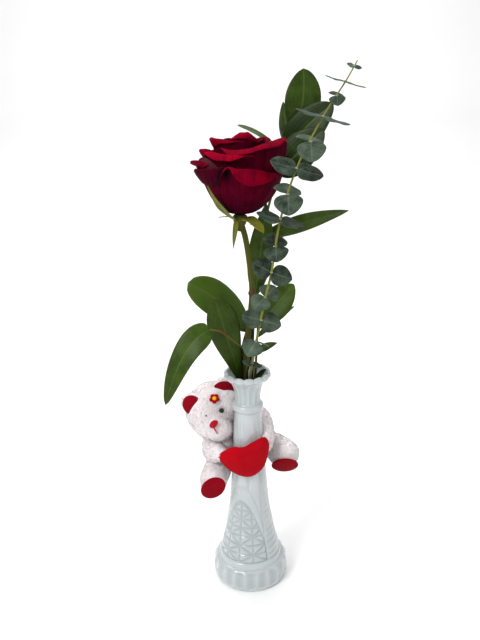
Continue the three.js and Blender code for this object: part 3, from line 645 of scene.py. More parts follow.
def vase_radius(z):
    """Radius of the vase's outside at a height, past its relief"""
    heights = [0, 20, 23.4] + [height for _, height in CONE] + [189, 196.5, 205, 212.5, 219.4, 225]
    radii = [38.6, 37.4, 34.6] + [radius for radius, _ in CONE] + [15.4, 15.2, 12.8, 14.4, 18, 22.6]
    return np.interp(z, heights, radii)


# Leaves and stems
@dataclass
class Leaf:
    """Leaf from base to tip that looks towards face. Its middle is moved by bend that way, and by arch."""

    base: tuple
    tip: tuple
    face: tuple
    width: float
    bend: float = 0.0
    peak: float = 0.8
    fullness: float = 0.75
    arch: tuple = (0, 0, 0)
    fold: float = 0.15
    ruffle: float = 0.03
    phase: float = 0.0
    tint: float = 0.0

    def grid(self, rows, columns):
        """Bent midrib with a width that follows the leaf's outline, as in the solids, with a softer fold"""
        base, tip, face = vec(*self.base), vec(*self.tip), vec(*self.face)
        chord = tip - base
        outward = unit(face - chord * (face @ chord) / (chord @ chord))
        middle = (base + tip) / 2 + outward * self.bend + vec(*self.arch)
        s = np.linspace(0, 1, rows)[:, None]
        centres = (1 - s) ** 2 * base + 2 * s * (1 - s) * middle + s**2 * tip
        along = unit(2 * (1 - s) * (middle - base) + 2 * s * (tip - middle))
        sideways = unit(np.cross(along, outward))
        normal = np.cross(sideways, along)
        outline = np.clip(np.sin(math.pi * s**self.peak), 0, None) ** self.fullness
        half = np.maximum(self.width / 2 * outline, LEAST_HALF_WIDTH)
        t = np.linspace(-1, 1, columns)
        t = 0.7 * t + 0.3 * np.sin(t * math.pi / 2)
        lift = self.fold * (np.sqrt(t * t + 0.01) - 0.1) - 0.08 * t**4
        ruffle = self.ruffle * np.sin(9 * s + self.phase) * np.abs(t) ** 3 * np.sign(t + 1e-9)
        across = half[:, None] * t[None, :, None]
        rise = (half * (lift + ruffle))[:, :, None]
        return centres[:, None] + sideways[:, None] * across + normal[:, None] * rise


class Sprig(Parts):
    """A stem in the first material, with leaves in the second"""

    def __init__(self, path, radii, sides, count):
        super().__init__("along", "across", "under", "tint")
        self.add(*tube(path, radii, sides, count))

    def add_leaf(self, leaf, rows, columns, thickness):
        points, faces, marks = sheet(leaf.grid(rows, columns), thickness)
        self.add(points, faces, 1, tint=leaf.tint, **marks)


NECK_HEIGHT = 205.0
STEM_FOOT = 9.0
STEM_SPREAD = 1.7
LEAF_THICKNESS = 0.6
EUCALYPTUS_THICKNESS = 0.55
LEAST_HALF_WIDTH = 0.35


def stem_path(neck, above):
    foot = vec(neck[0] * STEM_SPREAD, neck[1] * STEM_SPREAD, STEM_FOOT)
    neck = vec(*neck, NECK_HEIGHT)
    return [foot, foot + 0.8 * (neck - foot), neck, *(vec(*point) for point in above)]


ROSE_PATH = stem_path((-0.6, -1.5), [
    (-1.5, -2, 233), (1.9, -3, 270), (5.6, -3, 307), (3.8, -2.4, 332), (0.6, -1.2, 356), (-2.8, -0.5, 369),
])
EUCALYPTUS_PATH = stem_path((2.5, -7), [
    (2.6, -9, 224), (4.6, -17.5, 243), (8.4, -24, 267), (16.5, -34, 311), (21.5, -38, 334), (28.5, -46, 380),
    (41, -48, 420), (61, -46, 458), (78, -42, 483), (87, -40, 498),
])
RUSCUS_PATHS = {
    "tall": (stem_path((4.6, 4.6), [
        (5.2, 8, 232), (8, 14, 290), (14.5, 19, 345), (24, 26, 385), (34, 33, 412), (45, 40, 436),
    ]), [1.5, 1.4, 1.3, 1.1, 0.8]),
    "left": (stem_path((-5.6, 3.8), [
        (-5.2, 5.4, 228), (-1, 10.5, 250), (3, 14, 264),
    ]), [1.4, 1.3, 1.2, 0.9]),
    "right": (stem_path((6.9, -1), [(8, 1, 228), (9.6, 6, 250), (10.8, 10.5, 268)]), [1.4, 1.3, 1.2, 0.9]),
    "front": (stem_path((-2.2, -6.6), [
        (-1.6, -8.1, 228), (1.2, -9.2, 243), (0.4, -10.4, 252), (-6.4, -14, 259.6), (-16.7, -21, 271),
        (-23.6, -27, 278.5), (-33, -31.5, 281.7),
    ]), [1.2, 1.1, 1.0, 0.8]),
}

BLOOM_BASE = vec(-4, -0.5, 377.5)
BLOOM_LEAN = (0.07, -0.055)
SEPALS = [
    Leaf((-7, -3.5, 373), (-30, -31, 406), (-0.55, -0.6, -0.6), 9, 6.5, peak=0.55),
    Leaf((-6.5, -3.5, 374), (-10.3, -14, 350), (-0.2, -1, 0), 5, 3, peak=0.5),
    Leaf((-1, -4, 374.5), (16, -20, 364), (0.5, -0.5, 0.7), 16, 4, peak=0.7, tint=0.35),
    Leaf((-7, 1, 374), (-23, -1, 375), (0, 0, 1), 3.4, 1.5, peak=0.6),
    Leaf((0, 3, 374), (6, 13, 365), (0.3, 0.5, 0.8), 6, 4, peak=0.6),
]
KNUCKLE = (5.6, -3, 306)
HIP_FOOT = 362
HIP_TOP = 377.3
HIP = [(2.6, 363), (3.4, 366), (5.2, 369.5), (6.4, 373.5), (6.2, 376), (4.8, 377.2)]


def rose_stalk():
    parts = Sprig(ROSE_PATH, [2.5, 2.5, 2.7, 2.5, 2.6], 20, 120)
    parts.add(*ellipsoid(KNUCKLE, (3.5, 3.5, 3.6), sides=20))
    turns = around(24)
    ribbed = circle(turns) * (1 + 0.03 * np.cos(5 * turns))[:, None]
    centre = vec(BLOOM_BASE[0], BLOOM_BASE[1], 0)
    outline = smooth_curve([(r, 0, z) for r, z in HIP], 16)
    rings = np.array([ribbed * r + centre + vec(0, 0, z) for r, _, z in outline])
    parts.add(*lathe(rings, centre + vec(0, 0, HIP_FOOT), centre + vec(0, 0, HIP_TOP)))
    for index, sepal in enumerate(SEPALS):
        parts.add_leaf(replace(sepal, ruffle=0.12, phase=index * 1.7, fold=0.3), 22, 9, LEAF_THICKNESS)
    stalk = stem_finish("rose_bark", (0.016, 0.016, 0.004), (0.062, 0.07, 0.005), (0.08, 0.03, 0.012),
                        KNUCKLE[2])
    sepals = leaf_finish("sepal", (0.06, 0.07, 0.006), (0.2, 0.19, 0.015), (0.3, 0.3, 0.07),
                         "pinnate", 0.3, 0.5, 0.0)
    return place(parts.piece("rose_stalk", stalk, sepals), "rose_green", "rose_stem")


# Eucalyptus: opposite pairs of round leaves, each pair turned a quarter from the last
def blade(joint, reach, direction, face, width, bend):
    tip = vec(*joint) + unit(direction) * reach
    return Leaf(joint, tip, face, width * reach, bend * reach, 0.72, 0.6, fold=0.1, ruffle=0.05)


def side_pair(joint, reach, facing, lift=0.0):
    """A leaf to each side of the joint, turned to the front by facing"""
    face = (0.3, -facing, 1 - 0.6 * facing)
    left = blade(joint, reach, vec(-1, -0.1, 0.3 + lift), face, 1.02, -0.08)
    right = blade(joint, reach, vec(1, -0.1, -0.3 - 0.2 * lift), face, 1.02, -0.08)
    return joint, (left, right)


def cross_pair(joint, reach, rise, drop, swing=0.0):
    """A leaf that drops to the front of the joint, and one that rises behind it"""
    front = blade(joint, reach, vec(-swing, -0.55, -drop), (-0.1, -drop, 0.55), 1.26, 0.12)
    back = blade(joint, reach, vec(swing, 0.9, rise), (0.25, -0.35 - rise, 0.9), 1.26, -0.08)
    return joint, (front, back)


EUCALYPTUS_PAIRS = [
    side_pair((84.5, -40.5, 494), 6, facing=0.5),
    side_pair((78, -42, 483), 16.5, facing=0.05),
    cross_pair((71.5, -44, 473), 10, rise=0.3, drop=0.6),
    side_pair((61, -46, 458), 22, facing=0.12),
    cross_pair((52, -47.5, 440), 18, rise=0.2, drop=0.83),
    side_pair((41, -48, 420), 22, facing=0.5),
    cross_pair((34.5, -47.5, 400), 18.5, rise=0.35, drop=0.83),
    side_pair((28.5, -46, 380), 20.5, facing=0.25),
    cross_pair((25, -42, 357), 16.5, rise=0.55, drop=0.45),
    side_pair((21.5, -38, 334), 18.5, facing=0.95, lift=0.3),
    cross_pair((16.5, -34, 311), 15.5, rise=0.6, drop=0.6, swing=0.75),
    side_pair((13, -29.5, 289), 18, facing=0.95),
    cross_pair((8.4, -24, 267), 16, rise=-0.5, drop=0.7, swing=0.55),
    side_pair((4.6, -17.5, 243), 9.5, facing=0.2),
]


def eucalyptus():
    parts = Sprig(EUCALYPTUS_PATH, [1.4, 1.3, 1.2, 1.1, 0.9, 0.7, 0.45], 14, 150)
    for joint, leaves in EUCALYPTUS_PAIRS:
        parts.add(*ellipsoid(joint, (1.5, 1.5, 1.1), sides=14), material=2)
        for leaf in leaves:
            leaf = replace(leaf, phase=RNG.uniform(0, 6), tint=RNG.uniform(-0.12, 0.12))
            parts.add_leaf(leaf, 20, 15, EUCALYPTUS_THICKNESS)
    stem = stem_finish("eucalyptus_stem", (0.11, 0.12, 0.03), (0.19, 0.2, 0.03), (0.14, 0.1, 0.03), 205)
    leaves = leaf_finish("eucalyptus_leaf", (0.008, 0.016, 0.009), (0.1, 0.145, 0.098), (0.22, 0.27, 0.2),
                         "pinnate", 0.08, 0.6, 0.0, 110)
    joints = leaf_finish("eucalyptus_joint", (0.16, 0.19, 0.11), (0.26, 0.3, 0.2), (0.36, 0.38, 0.28),
                         "pinnate", 0.1, 0.7, 0.0)
    return place(parts.piece("eucalyptus", stem, leaves, joints), "eucalyptus", "eucalyptus_sprig")


RUSCUS_LEAVES = {
    "tall": [
        Leaf((45.5, 40, 435), (54, 37, 497), (0, -1, 0.1), 32, 3, 1.25, 0.6, (7, 0, 0), tint=0.02),
        Leaf((42, 38.5, 430), (38, 60, 470), (-0.2, -0.9, 0.3), 13, 3),
        Leaf((40, 37, 426), (79, 23, 467), (-0.2, -0.9, 0.3), 33, 4, 0.8, 0.6, (-2, 0, 5), tint=-0.25),
        Leaf((31.5, 32, 408), (71, 20, 446), (-0.2, -0.9, 0.35), 34, 4, 0.8, 0.6, (1, 0, 2), tint=-0.2),
        Leaf((38, 36, 421), (-4.5, 44, 451), (0.25, -0.35, 0.9), 10, 10, 1.5, 0.5, tint=0.15),
        Leaf((16.5, 20.5, 353), (93, 10, 377), (-0.1, -0.75, 0.65), 18, 5, tint=0.1),
        Leaf((8.5, 14.5, 297), (20, 15, 384), (0.1, -1, 0.1), 23, 3, 0.9),
    ],
    "left": [
        Leaf((3, 14, 264), (-53, 8, 314), (0.35, -0.6, 0.7), 41, 13, 1.35, 0.45, tint=0.32),
        Leaf((-5.4, 4.2, 209), (-28, -14, 304), (0.46, -0.88, 0.05), 31, 3, 2.2, 0.5, tint=0.1),
        Leaf((-5.4, 4.8, 215), (6, 8, 283), (0.1, -1, 0), 12, 2, tint=-0.3),
    ],
    "right": [
        Leaf((10.8, 10.5, 267), (46, 25, 306), (-0.1, -0.85, 0.5), 27, 4, 1.1, 0.65, tint=0.2),
        Leaf((10.4, 8.5, 259), (45.5, 12, 288), (-0.5, -0.3, 0.8), 12, 3, tint=0.1),
        Leaf((9.4, 5, 246), (28.5, 0, 256), (-0.2, -0.6, 0.8), 9, 2),
        Leaf((7.5, 0, 219), (18, -8, 233), (-0.2, -0.5, 0.8), 8, 1, tint=-0.25),
    ],
    "front": [
        Leaf((-32, -31.2, 281.4), (-73.5, -46, 217), (-0.25, -0.9, 0.35), 24, 0, 0.62, 0.55,
             (-3.5, -6, 28), ruffle=0.08, tint=0.1),
    ],
}


def ruscus_sprigs():
    stem = stem_finish("ruscus_stem", (0.022, 0.03, 0.006), (0.1, 0.14, 0.03), (0.06, 0.03, 0.012), 205)
    stalk = stem_finish("ruscus_stalk", (0.022, 0.03, 0.006), (0.1, 0.12, 0.02), (0.14, 0.025, 0.012), 275)
    leaves = leaf_finish("ruscus_leaf", (0.009, 0.022, 0.001), (0.046, 0.088, 0.006), (0.08, 0.13, 0.025),
                         "parallel", 0.1, 0.4, 0.03)
    for name, sprig in RUSCUS_LEAVES.items():
        parts = Sprig(*RUSCUS_PATHS[name], 12, 80)
        for index, leaf in enumerate(sprig):
            parts.add_leaf(replace(leaf, phase=1.3 * index), 36, 17, LEAF_THICKNESS)
        piece = parts.piece(f"ruscus_{name}_sprig", stalk if name == "front" else stem, leaves)
        place(piece, "ruscus", f"ruscus_{name}")


rose_stalk()
eucalyptus()
ruscus_sprigs()


# Bloom: petals given by stations across them, each a turn about the bloom, the body's reach and height,
# the flap beyond the fold and the angle of the fold. Turns are in degrees, 0 at the front, to +X.
# Each petal's brightness number paints light and shade on it: petals and lips that face the light are
# brighter.
FRONT_PETALS = [
    dict(stations=[
        (-104, 31, 34, 8, 185), (-90, 34, 38, 12.5, 187), (-68, 35, 40, 14, 184),
        (-48, 34.5, 40.8, 15, 182), (-35, 34, 41.4, 16, 178), (-29, 34, 42.2, 12, 165),
        (-23, 33.6, 42.8, 5, 130), (-17, 33.5, 43, 1, 90),
        (-7, 34, 41.5, 7, 140), (2, 34, 41.1, 10.5, 150), (10, 34, 40.6, 11.5, 150), (20, 34, 39.8, 11, 150),
        (32, 33, 38, 7, 130), (44, 32, 36.5, 2, 80), (50, 31.5, 35, 0.3, 50), (60, 30, 31, 0, 20)],
        flare=4, cup=0.52, bulge=(1.35, 2.2), fold=1.5, glow=0.62, crease=True),
    dict(stations=[
        (-70, 28, 51, 0.3, 20), (-61, 30, 53, 2.5, 95), (-42, 28, 52.4, 5, 125), (-20, 28, 51.4, 4.6, 130),
        (-8, 28, 51, 3.2, 120), (2, 28, 50.9, 1.8, 90), (12, 27, 50.6, 0.8, 60), (26, 25, 49.6, 0.1, 30)],
        flare=2.5, fold=1.6, glow=0.72),
    dict(stations=[
        (-52, 24, 56, 0.5, 30), (-38, 24.5, 55.6, 2, 90), (-20, 25.5, 54.2, 4.5, 125),
        (-5, 27, 54.8, 5, 120),
        (12, 29, 56.4, 5, 112), (28, 31, 58.8, 6.5, 108), (42, 32.5, 61, 8, 104), (54, 33, 62.8, 6, 95),
        (64, 33.4, 63, 2, 70), (76, 34.5, 60.8, 0.4, 25), (90, 36, 57.5, 0.3, 15), (105, 36, 52, 0.3, 15),
        (120, 35, 45, 0, 10)],
        flare=0.5, bulge=(2.6, 3.0), cup=0.5, fold=1.6, glow=0.66),
    dict(stations=[
        (-96, 31, 39, 0, 10), (-83, 32.5, 44, 0.3, 30), (-72, 33.5, 47.2, 0.8, 50),
        (-60, 32.5, 49.8, 0.6, 50), (-50, 30.5, 47, 0.3, 30), (-36, 28, 41, 0, 10)],
        flare=3.5, fold=1.2, glow=0.4, mauve=True),
    dict(stations=[
        (40, 30, 33, 0, 10), (56, 33.5, 40, 0.5, 30), (74, 36, 45, 1, 50), (92, 37, 47, 1, 50),
        (115, 35, 45, 1, 40), (140, 31, 38, 0.5, 30)], flare=0.5, cup=0.4, fold=1.4, glow=0.5),
    dict(stations=[
        (-125, 18, 59, 3, 150), (-106, 21, 62.6, 7, 180), (-92, 24, 64.2, 8.5, 192),
        (-84, 23.5, 64.2, 8, 190), (-72, 20.5, 63.4, 4.5, 180), (-60, 18, 63, 3, 160),
        (-45, 16, 62.6, 2.2, 135), (-20, 15, 62, 1.5, 110), (5, 14.5, 61, 1, 80)],
        flare=2.5, fold=1.2, glow=0.66),
    dict(stations=[
        (-135, 26, 49, 3, 150), (-112, 30, 53, 6, 180), (-97, 31.8, 54.6, 8.5, 195), (-86, 31.5, 55, 8, 195),
        (-76, 29, 55.3, 5, 175), (-66, 26.5, 55, 3, 150), (-55, 25, 54, 1.5, 110)],
        flare=3, fold=1.2, glow=0.64),
    dict(stations=[
        (-140, 26, 42, 3, 100), (-118, 29, 44.5, 5, 150), (-104, 33, 45.2, 7, 205), (-94, 35, 45.4, 8, 212),
        (-84, 33, 45.8, 7, 205), (-72, 28, 46.5, 5, 170), (-54, 24, 46, 2, 120)],
        flare=7, fold=1.4, glow=0.6),
    dict(stations=[
        (-62, 17, 61, 0.5, 30), (-40, 17, 62.4, 1.2, 70), (-15, 17.5, 64, 1.5, 80), (5, 18, 63.6, 1.2, 70),
        (35, 18.5, 60.5, 0.6, 40), (60, 18, 58.5, 0, 20)], flare=1, fold=1.2, glow=0.62),
    dict(stations=[
        (-85, 12, 58, 2, -60), (-45, 14, 61.5, 2, -65), (-10, 14, 63.4, 2, -65), (12, 14, 63.6, 2, -65),
        (45, 14, 61, 2, -60), (85, 12, 58, 2, -55)], flare=0, fold=8, glow=0.74),
]


def plain_petal(turn, span, reach, height, flap, roll, flare):
    """Petal of the usual form: highest and most rolled at its middle, with a faint point"""
    shares = [
        (-1, 0.95, 0.86, 0.1, 0.3), (-0.75, 0.99, 0.95, 0.5, 0.75), (-0.35, 1, 1, 0.85, 1),
        (0, 1, 1.012, 1.1, 1), (0.4, 1.01, 0.995, 0.85, 1), (0.75, 1, 0.95, 0.5, 0.75),
        (1, 0.97, 0.86, 0.1, 0.3),
    ]
    stations = [(turn + span * t, reach * a, height * b, flap * c, roll * d) for t, a, b, c, d in shares]
    # The rear petals share one middling brightness, as painted light and shade.
    return dict(stations=stations, flare=flare, glow=0.55)


REAR_PETALS = [
    (150, 52, 31, 41, 7, 115, 4), (-155, 54, 31, 40, 8, 120, 4), (100, 44, 31, 44, 5, 95, 3),
    (175, 50, 28, 50, 6, 110, 3), (120, 50, 27, 53, 5, 105, 3), (-140, 46, 27, 52, 5, 100, 3),
    (150, 54, 23, 58, 4, 100, 2), (-165, 54, 22, 58.5, 4, 95, 2), (85, 50, 23, 59, 3, 85, 2),
    (120, 60, 17, 61.5, 3, 90, 1.5), (-150, 60, 17, 61, 3, 85, 1.5), (170, 60, 13, 62.5, 2.2, 80, 1),
    (75, 62, 13, 60.5, 2, 70, 1), (-110, 64, 9.5, 61.5, 1.6, 60, 0.5), (130, 70, 8, 62, 1.4, 55, 0.5),
    (10, 75, 6.5, 61.5, 1, 40, 0.3), (200, 80, 5, 62, 1, 35, 0.2), (80, 90, 3.2, 62, 0.5, 20, 0.1),
    (-60, 90, 2, 61.5, 0.4, 10, 0),
]
PETAL_THICKNESS = 0.5
PETAL_BODY = 0.62
PETAL_FOLD = 0.2
PETAL_FULL_REACH = 20
CREASE_TURN = -21
CREASE_WIDTH = 4.5


def petal_grid(petal, rows, columns, phase):
    stations = np.array(petal["stations"], float)
    share = np.linspace(-1, 1, columns)
    share = 0.75 * share + 0.25 * np.sin(share * math.pi / 2)
    turns = stations[0, 0] + (share + 1) / 2 * (stations[-1, 0] - stations[0, 0])
    reach, height, flap, roll = (through(turns, stations[:, 0], stations[:, k]) for k in range(1, 5))
    height = height + 0.25 * np.sin(turns * 0.13 + phase) + 0.1 * np.sin(turns * 0.31 + 2 * phase)
    flap = flap * (1 + 0.06 * np.sin(turns * 0.2 + 1.7 * phase))
    bend = np.radians(roll)
    flare = petal["flare"]
    cup = petal.get("cup", 0.42)
    bulge = np.interp(share, (-1, 1), petal.get("bulge", (1.6, 1.6)))
    s = np.linspace(0, 1, rows)[:, None]
    climb = 0.004 + 0.996 * np.minimum(s / PETAL_BODY, 1)
    lean = np.arctan2(height, 4 * flare + 0.02 * reach)
    out = reach * (1 - (1 - climb) ** bulge) ** cup + flare * climb**4
    up = height * climb
    fold = np.clip((s - PETAL_BODY) / PETAL_FOLD, 0, 1) * bend
    radius = petal.get("fold", 2.4) * np.clip(reach / PETAL_FULL_REACH, 0.25, 1) * np.sign(bend)
    out = out + radius * (np.sin(lean) - np.sin(lean - fold))
    up = up + radius * (np.cos(lean - fold) - np.cos(lean))
    hang = np.clip((s - PETAL_BODY - PETAL_FOLD) / (1 - PETAL_BODY - PETAL_FOLD), 0, 1)
    droop = lean - fold - 0.15 * hang * np.sign(bend)
    out = out + flap * hang * np.cos(droop)
    up = up + flap * hang * np.sin(droop)
    ribs = np.sin(turns * 0.42 + phase) + 0.6 * np.sin(turns * 0.93 + 2.3 * phase)
    out = out + 0.16 * ribs * np.sin(math.pi * climb) * np.clip(reach / PETAL_FULL_REACH, 0.2, 1)
    out = out + 0.012 * reach * share
    angle = np.radians(turns)
    return np.stack([
        BLOOM_BASE[0] + BLOOM_LEAN[0] * up + out * np.sin(angle),
        BLOOM_BASE[1] + BLOOM_LEAN[1] * up - out * np.cos(angle),
        BLOOM_BASE[2] + up,
    ], -1), turns


def petals():
    parts = Parts("along", "across", "seed", "glow", "bruise", "mauve")
    everything = FRONT_PETALS + [plain_petal(*values) for values in REAR_PETALS]
    for index, petal in enumerate(everything):
        small = petal["stations"][0][1] < PETAL_FULL_REACH
        rows, columns = (28, 26) if small else (38, 54)
        grid, turns = petal_grid(petal, rows, columns, 1.9 * index)
        points, faces, marks = sheet(grid, PETAL_THICKNESS)
        along = marks["along"]
        turn = np.tile(np.tile(turns, rows), 2)
        lip = step(PETAL_BODY - 0.04, PETAL_BODY + 0.12, along)
        # Painted light and shade: darker at the petal's foot, lighter up its body and brightest on its lip.
        glow = petal["glow"] * (0.5 + 0.3 * step(0.02, 0.4, along) * step(0.75, 0.4, along) + 0.5 * lip)
        bruise = 0.0
        if petal.get("crease"):
            off_crease = turn - CREASE_TURN + 66 * np.maximum(along - 0.8, 0)
            near = np.exp(-(off_crease / CREASE_WIDTH) ** 4)
            # Near-black along the crease, from high on the body up onto the lip.
            bruise = near * step(0.42, 0.55, along)
            # Painted shade: the lip left of the crease is darker, as its shaded side.
            glow = glow * np.where((turn < CREASE_TURN - 1) & (along > PETAL_BODY), 0.6, 1.0)
        mauve = step(0.2, 0.35, along) if petal.get("mauve") else 0.0
        parts.add(points, faces, seed=7.3 * index, glow=glow, bruise=bruise, mauve=mauve, **marks)
    return place(parts.piece("rose_petals", petal_velvet()), "petal", "rose_bloom")


petals()


# Bear
SKIN_VOXEL = 1.1
SKIN_SMOOTHING = 8
SKIN_INSET = 1.0
SKIN_GAP = 0.5
FELT_GAP = 0.3
PILE_GAP = 1.2
PILE_DENSITY = 1.3
PILE_LENGTH = 2.0
PILE_WIDTH = 0.5
PILE_COMB = (0, -0.15, -0.5)
HEAD_TILT = 0.4
HEAD = [
    ((-34, 25, 176), (29.5, 25, 30.5), (0, HEAD_TILT, 0)),
    ((-19.5, 15.5, 188.5), (13, 13, 13.5), (0, 0, 0)),
    ((-38, 14, 164), (18, 15, 15.5), (0, HEAD_TILT, 0)),
    ((-29.5, 3.5, 166.5), (16, 14, 14.5), (0, HEAD_TILT, 0)),
    ((-25, 7.5, 177), (7, 6.5, 8.5), (0, 0, 0)),
]
EARS = {
    "left": ((-56, 20, 185.5), (12.5, 6, 12.5), (0.1, HEAD_TILT, -0.35)),
    "right": ((-21.5, 24.5, 201), (12.5, 5.5, 11.5), (-0.35, 0, 0.1)),
}
LININGS = {
    "left": ((-54.8, 13.6, 186.2), (10.9, 2.6, 10.9), EARS["left"][2]),
    "right": ((-22.3, 18.6, 201.5), (11.6, 2.6, 7.4), EARS["right"][2]),
}
NOSE = ((-33.2, -9.9, 177.6), (5, 2.7, 3.2), (0, -0.75, 0))
MOUTH = [(-33, -11.4, 174.4), (-31.6, -11.8, 171.3), (-30, -11.4, 168)]
EYES = {
    "left": ((-41, 2.6, 180.4), (1.4, 1.4, 1.3), (0, 0, 0)),
    "right": ((-25.6, 0.4, 186.6), (2.5, 2.2, 2.5), (0, 0, 0)),
}
LIMBS = {
    "leg_left": ([(-20, 33, 128), (-30, 8, 121), (-36, -12, 115.5)], [12, 14.5, 14]),
    "leg_right": ([(12, 34, 130), (26, 22, 134.5), (37, 8.5, 131.8)], [12, 14, 16]),
    "arm_left": ([(-28, 33, 152), (-36, 11, 140.5), (-31, -8, 145), (-26, -15, 147)], [10, 12.5, 10.5, 7]),
    "arm_right": ([(1, 34, 168), (13, 22, 168), (18, 3, 158), (16, -14, 155)], [9.5, 10, 9, 7]),
}
SOLES = {
    "left": ((-35.3, -24.6, 116), (10.4, 3, 13.4), (0, 0.85, 0)),
    "right": ((36, -3.2, 126.6), (13.4, 3, 12), (0.5, 0, 0)),
}
TORSO = [((-8, 38, 143), (24, 20, 32), (0, -0.25, 0)), ((-23, 14, 149), (12, 16, 13), (0, 0, 0))]
FLOWER_CENTRE = vec(-32.4, 6.1, 196.8)
FLOWER_LEAN = 0.7
FLOWER_RADIUS = 5.2
FLOWER_PETALS = 5
HEART_OUTLINE = [
    (-30.4, 147), (-25.4, 152.4), (-15.5, 158.5), (-5.5, 158.6), (4, 163.7), (15, 168), (19.4, 161.5),
    (18, 145.5), (12.5, 133), (1, 126), (-12.5, 129), (-24.4, 138),
]
HEART_CENTRE = vec(-4, -22, 147)
HEART_HALF_DEPTH = 6.0
HEART_RINGS = 16
HEART_SIDES = 120


def clear_of_vase(points, gap):
    """Points inside the vase's skin move straight out of it"""
    radius = np.hypot(points[:, 0], points[:, 1])
    wanted = vase_radius(points[:, 2]) + gap
    inside = (radius < wanted) & (points[:, 2] < VASE_HEIGHT)
    scale = np.where(inside, wanted / np.maximum(radius, 1e-6), 1.0)
    moved = points.copy()
    moved[:, :2] *= scale[:, None]
    return moved


def outside_of(points, shape, grow):
    """True where a point is outside an ellipsoid, made larger by grow"""
    centre, radii, turn = shape
    local = (points - np.array(centre)) @ rotated(turn)
    return np.sum((local / (np.array(radii) + grow)) ** 2, 1) > 1


def vectors(items, name):
    values = np.zeros(len(items) * 3, np.float32)
    items.foreach_get(name, values)
    return values.reshape(-1, 3).astype(float)


def skin(name, forms, finish):
    """One soft closed skin round overlapping forms"""
    rough = solid(name + "_rough", forms)
    remesh = rough.modifiers.new("skin", "REMESH")
    remesh.mode = "VOXEL"
    remesh.voxel_size = SKIN_VOXEL * MM
    relax = rough.modifiers.new("soft", "SMOOTH")
    relax.iterations = SKIN_SMOOTHING
    relax.factor = 0.5
    evaluated = rough.evaluated_get(bpy.context.evaluated_depsgraph_get())
    mesh = bpy.data.meshes.new_from_object(evaluated)
    bpy.data.objects.remove(rough)
    mesh.name = name
    inner = vectors(mesh.vertices, "co") / MM - vectors(mesh.vertex_normals, "vector") * SKIN_INSET
    points = clear_of_vase(inner, SKIN_GAP)
    mesh.vertices.foreach_set("co", (points * MM).astype(np.float32).ravel())
    mesh.polygons.foreach_set("use_smooth", np.ones(len(mesh.polygons), bool))
    mesh.materials.clear()
    mesh.materials.append(finish.material)
    mesh.update()
    return scene_object(name, mesh)


def pile(name, base, finish, bare):
    """Short curved blades all over a skin, apart from the ellipsoids in bare and where it meets the vase"""
    mesh = base.data
    mesh.calc_loop_triangles()
    points = vectors(mesh.vertices, "co") / MM
    normals = vectors(mesh.vertex_normals, "vector")
    corners = np.zeros(len(mesh.loop_triangles) * 3, np.int32)
    mesh.loop_triangles.foreach_get("vertices", corners)
    corners = corners.reshape(-1, 3)
    a, b, c = (points[corners[:, k]] for k in range(3))
    area = np.linalg.norm(np.cross(b - a, c - a), axis=1) / 2
    count = int(area.sum() * PILE_DENSITY)
    chosen = RNG.choice(len(area), count, p=area / area.sum())
    u, v = RNG.random((2, count))
    flip = u + v > 1
    u, v = np.where(flip, 1 - u, u), np.where(flip, 1 - v, v)
    weights = np.stack([1 - u - v, u, v], 1)[:, :, None]
    roots = (points[corners[chosen]] * weights).sum(1)
    normal = unit((normals[corners[chosen]] * weights).sum(1))
    keep = np.hypot(roots[:, 0], roots[:, 1]) > vase_radius(roots[:, 2]) + PILE_GAP
    for shape in bare:
        keep &= outside_of(roots, shape, 0.3)
    roots, normal = roots[keep], normal[keep]
    count = len(roots)
    lean = np.array(PILE_COMB) + RNG.normal(0, 0.4, (count, 3))
    lean -= normal * np.sum(lean * normal, 1, keepdims=True)
    size = (PILE_LENGTH * RNG.uniform(0.6, 1.2, count))[:, None]
    middle = roots + (normal * 0.55 + lean * 0.45) * size * 0.6
    tip = roots + (normal * 0.5 + lean * 1.1) * size
    wide = unit(np.cross(tip - roots, normal + 0.3 * RNG.normal(0, 1, (count, 3)))) * PILE_WIDTH / 2
    low = roots - normal * 0.2
    blades = np.stack([low - wide, low + wide, middle - wide, middle + wide, tip], 1).reshape(-1, 3)
    first = np.arange(count) * 5
    quads = np.stack([first, first + 1, first + 3, first + 2], 1)
    ends = np.stack([first + 2, first + 3, first + 4], 1)
    obj = solid(name, [(blades, [quads, ends])], finish)
    shading = np.repeat(unit(normal + 0.18 * RNG.normal(0, 1, (count, 3))), 5, 0)
    obj.data.normals_split_custom_set_from_vertices(shading.tolist())
    place(obj, "plush")


def heart_form():
    """Broad cushion: crowned on both faces, with a pinched seam round its edge"""
    outline = smooth_curve([(x, 0, z) for x, z in HEART_OUTLINE], HEART_SIDES, closed=True)
    outline[:, 1] = HEART_CENTRE[1]
    offset = outline - HEART_CENTRE
    shares = np.sin(np.linspace(0.06, 0.5, HEART_RINGS) * math.pi)
    crown = HEART_HALF_DEPTH * (1 - shares**2.4) ** 0.62
    front = [(share, -depth) for share, depth in zip(shares, crown)]
    back = [(share, depth) for share, depth in zip(shares[:-1][::-1], crown[:-1][::-1])]
    layers = []
    for share, depth in front + back:
        ring = HEART_CENTRE + offset * share
        ring[:, 1] += depth + 0.006 * (offset[:, 0] * share) ** 2
        layers.append(ring)
    outward = vec(0, HEART_HALF_DEPTH, 0)
    return lathe(np.array(layers), HEART_CENTRE - outward, HEART_CENTRE + outward)


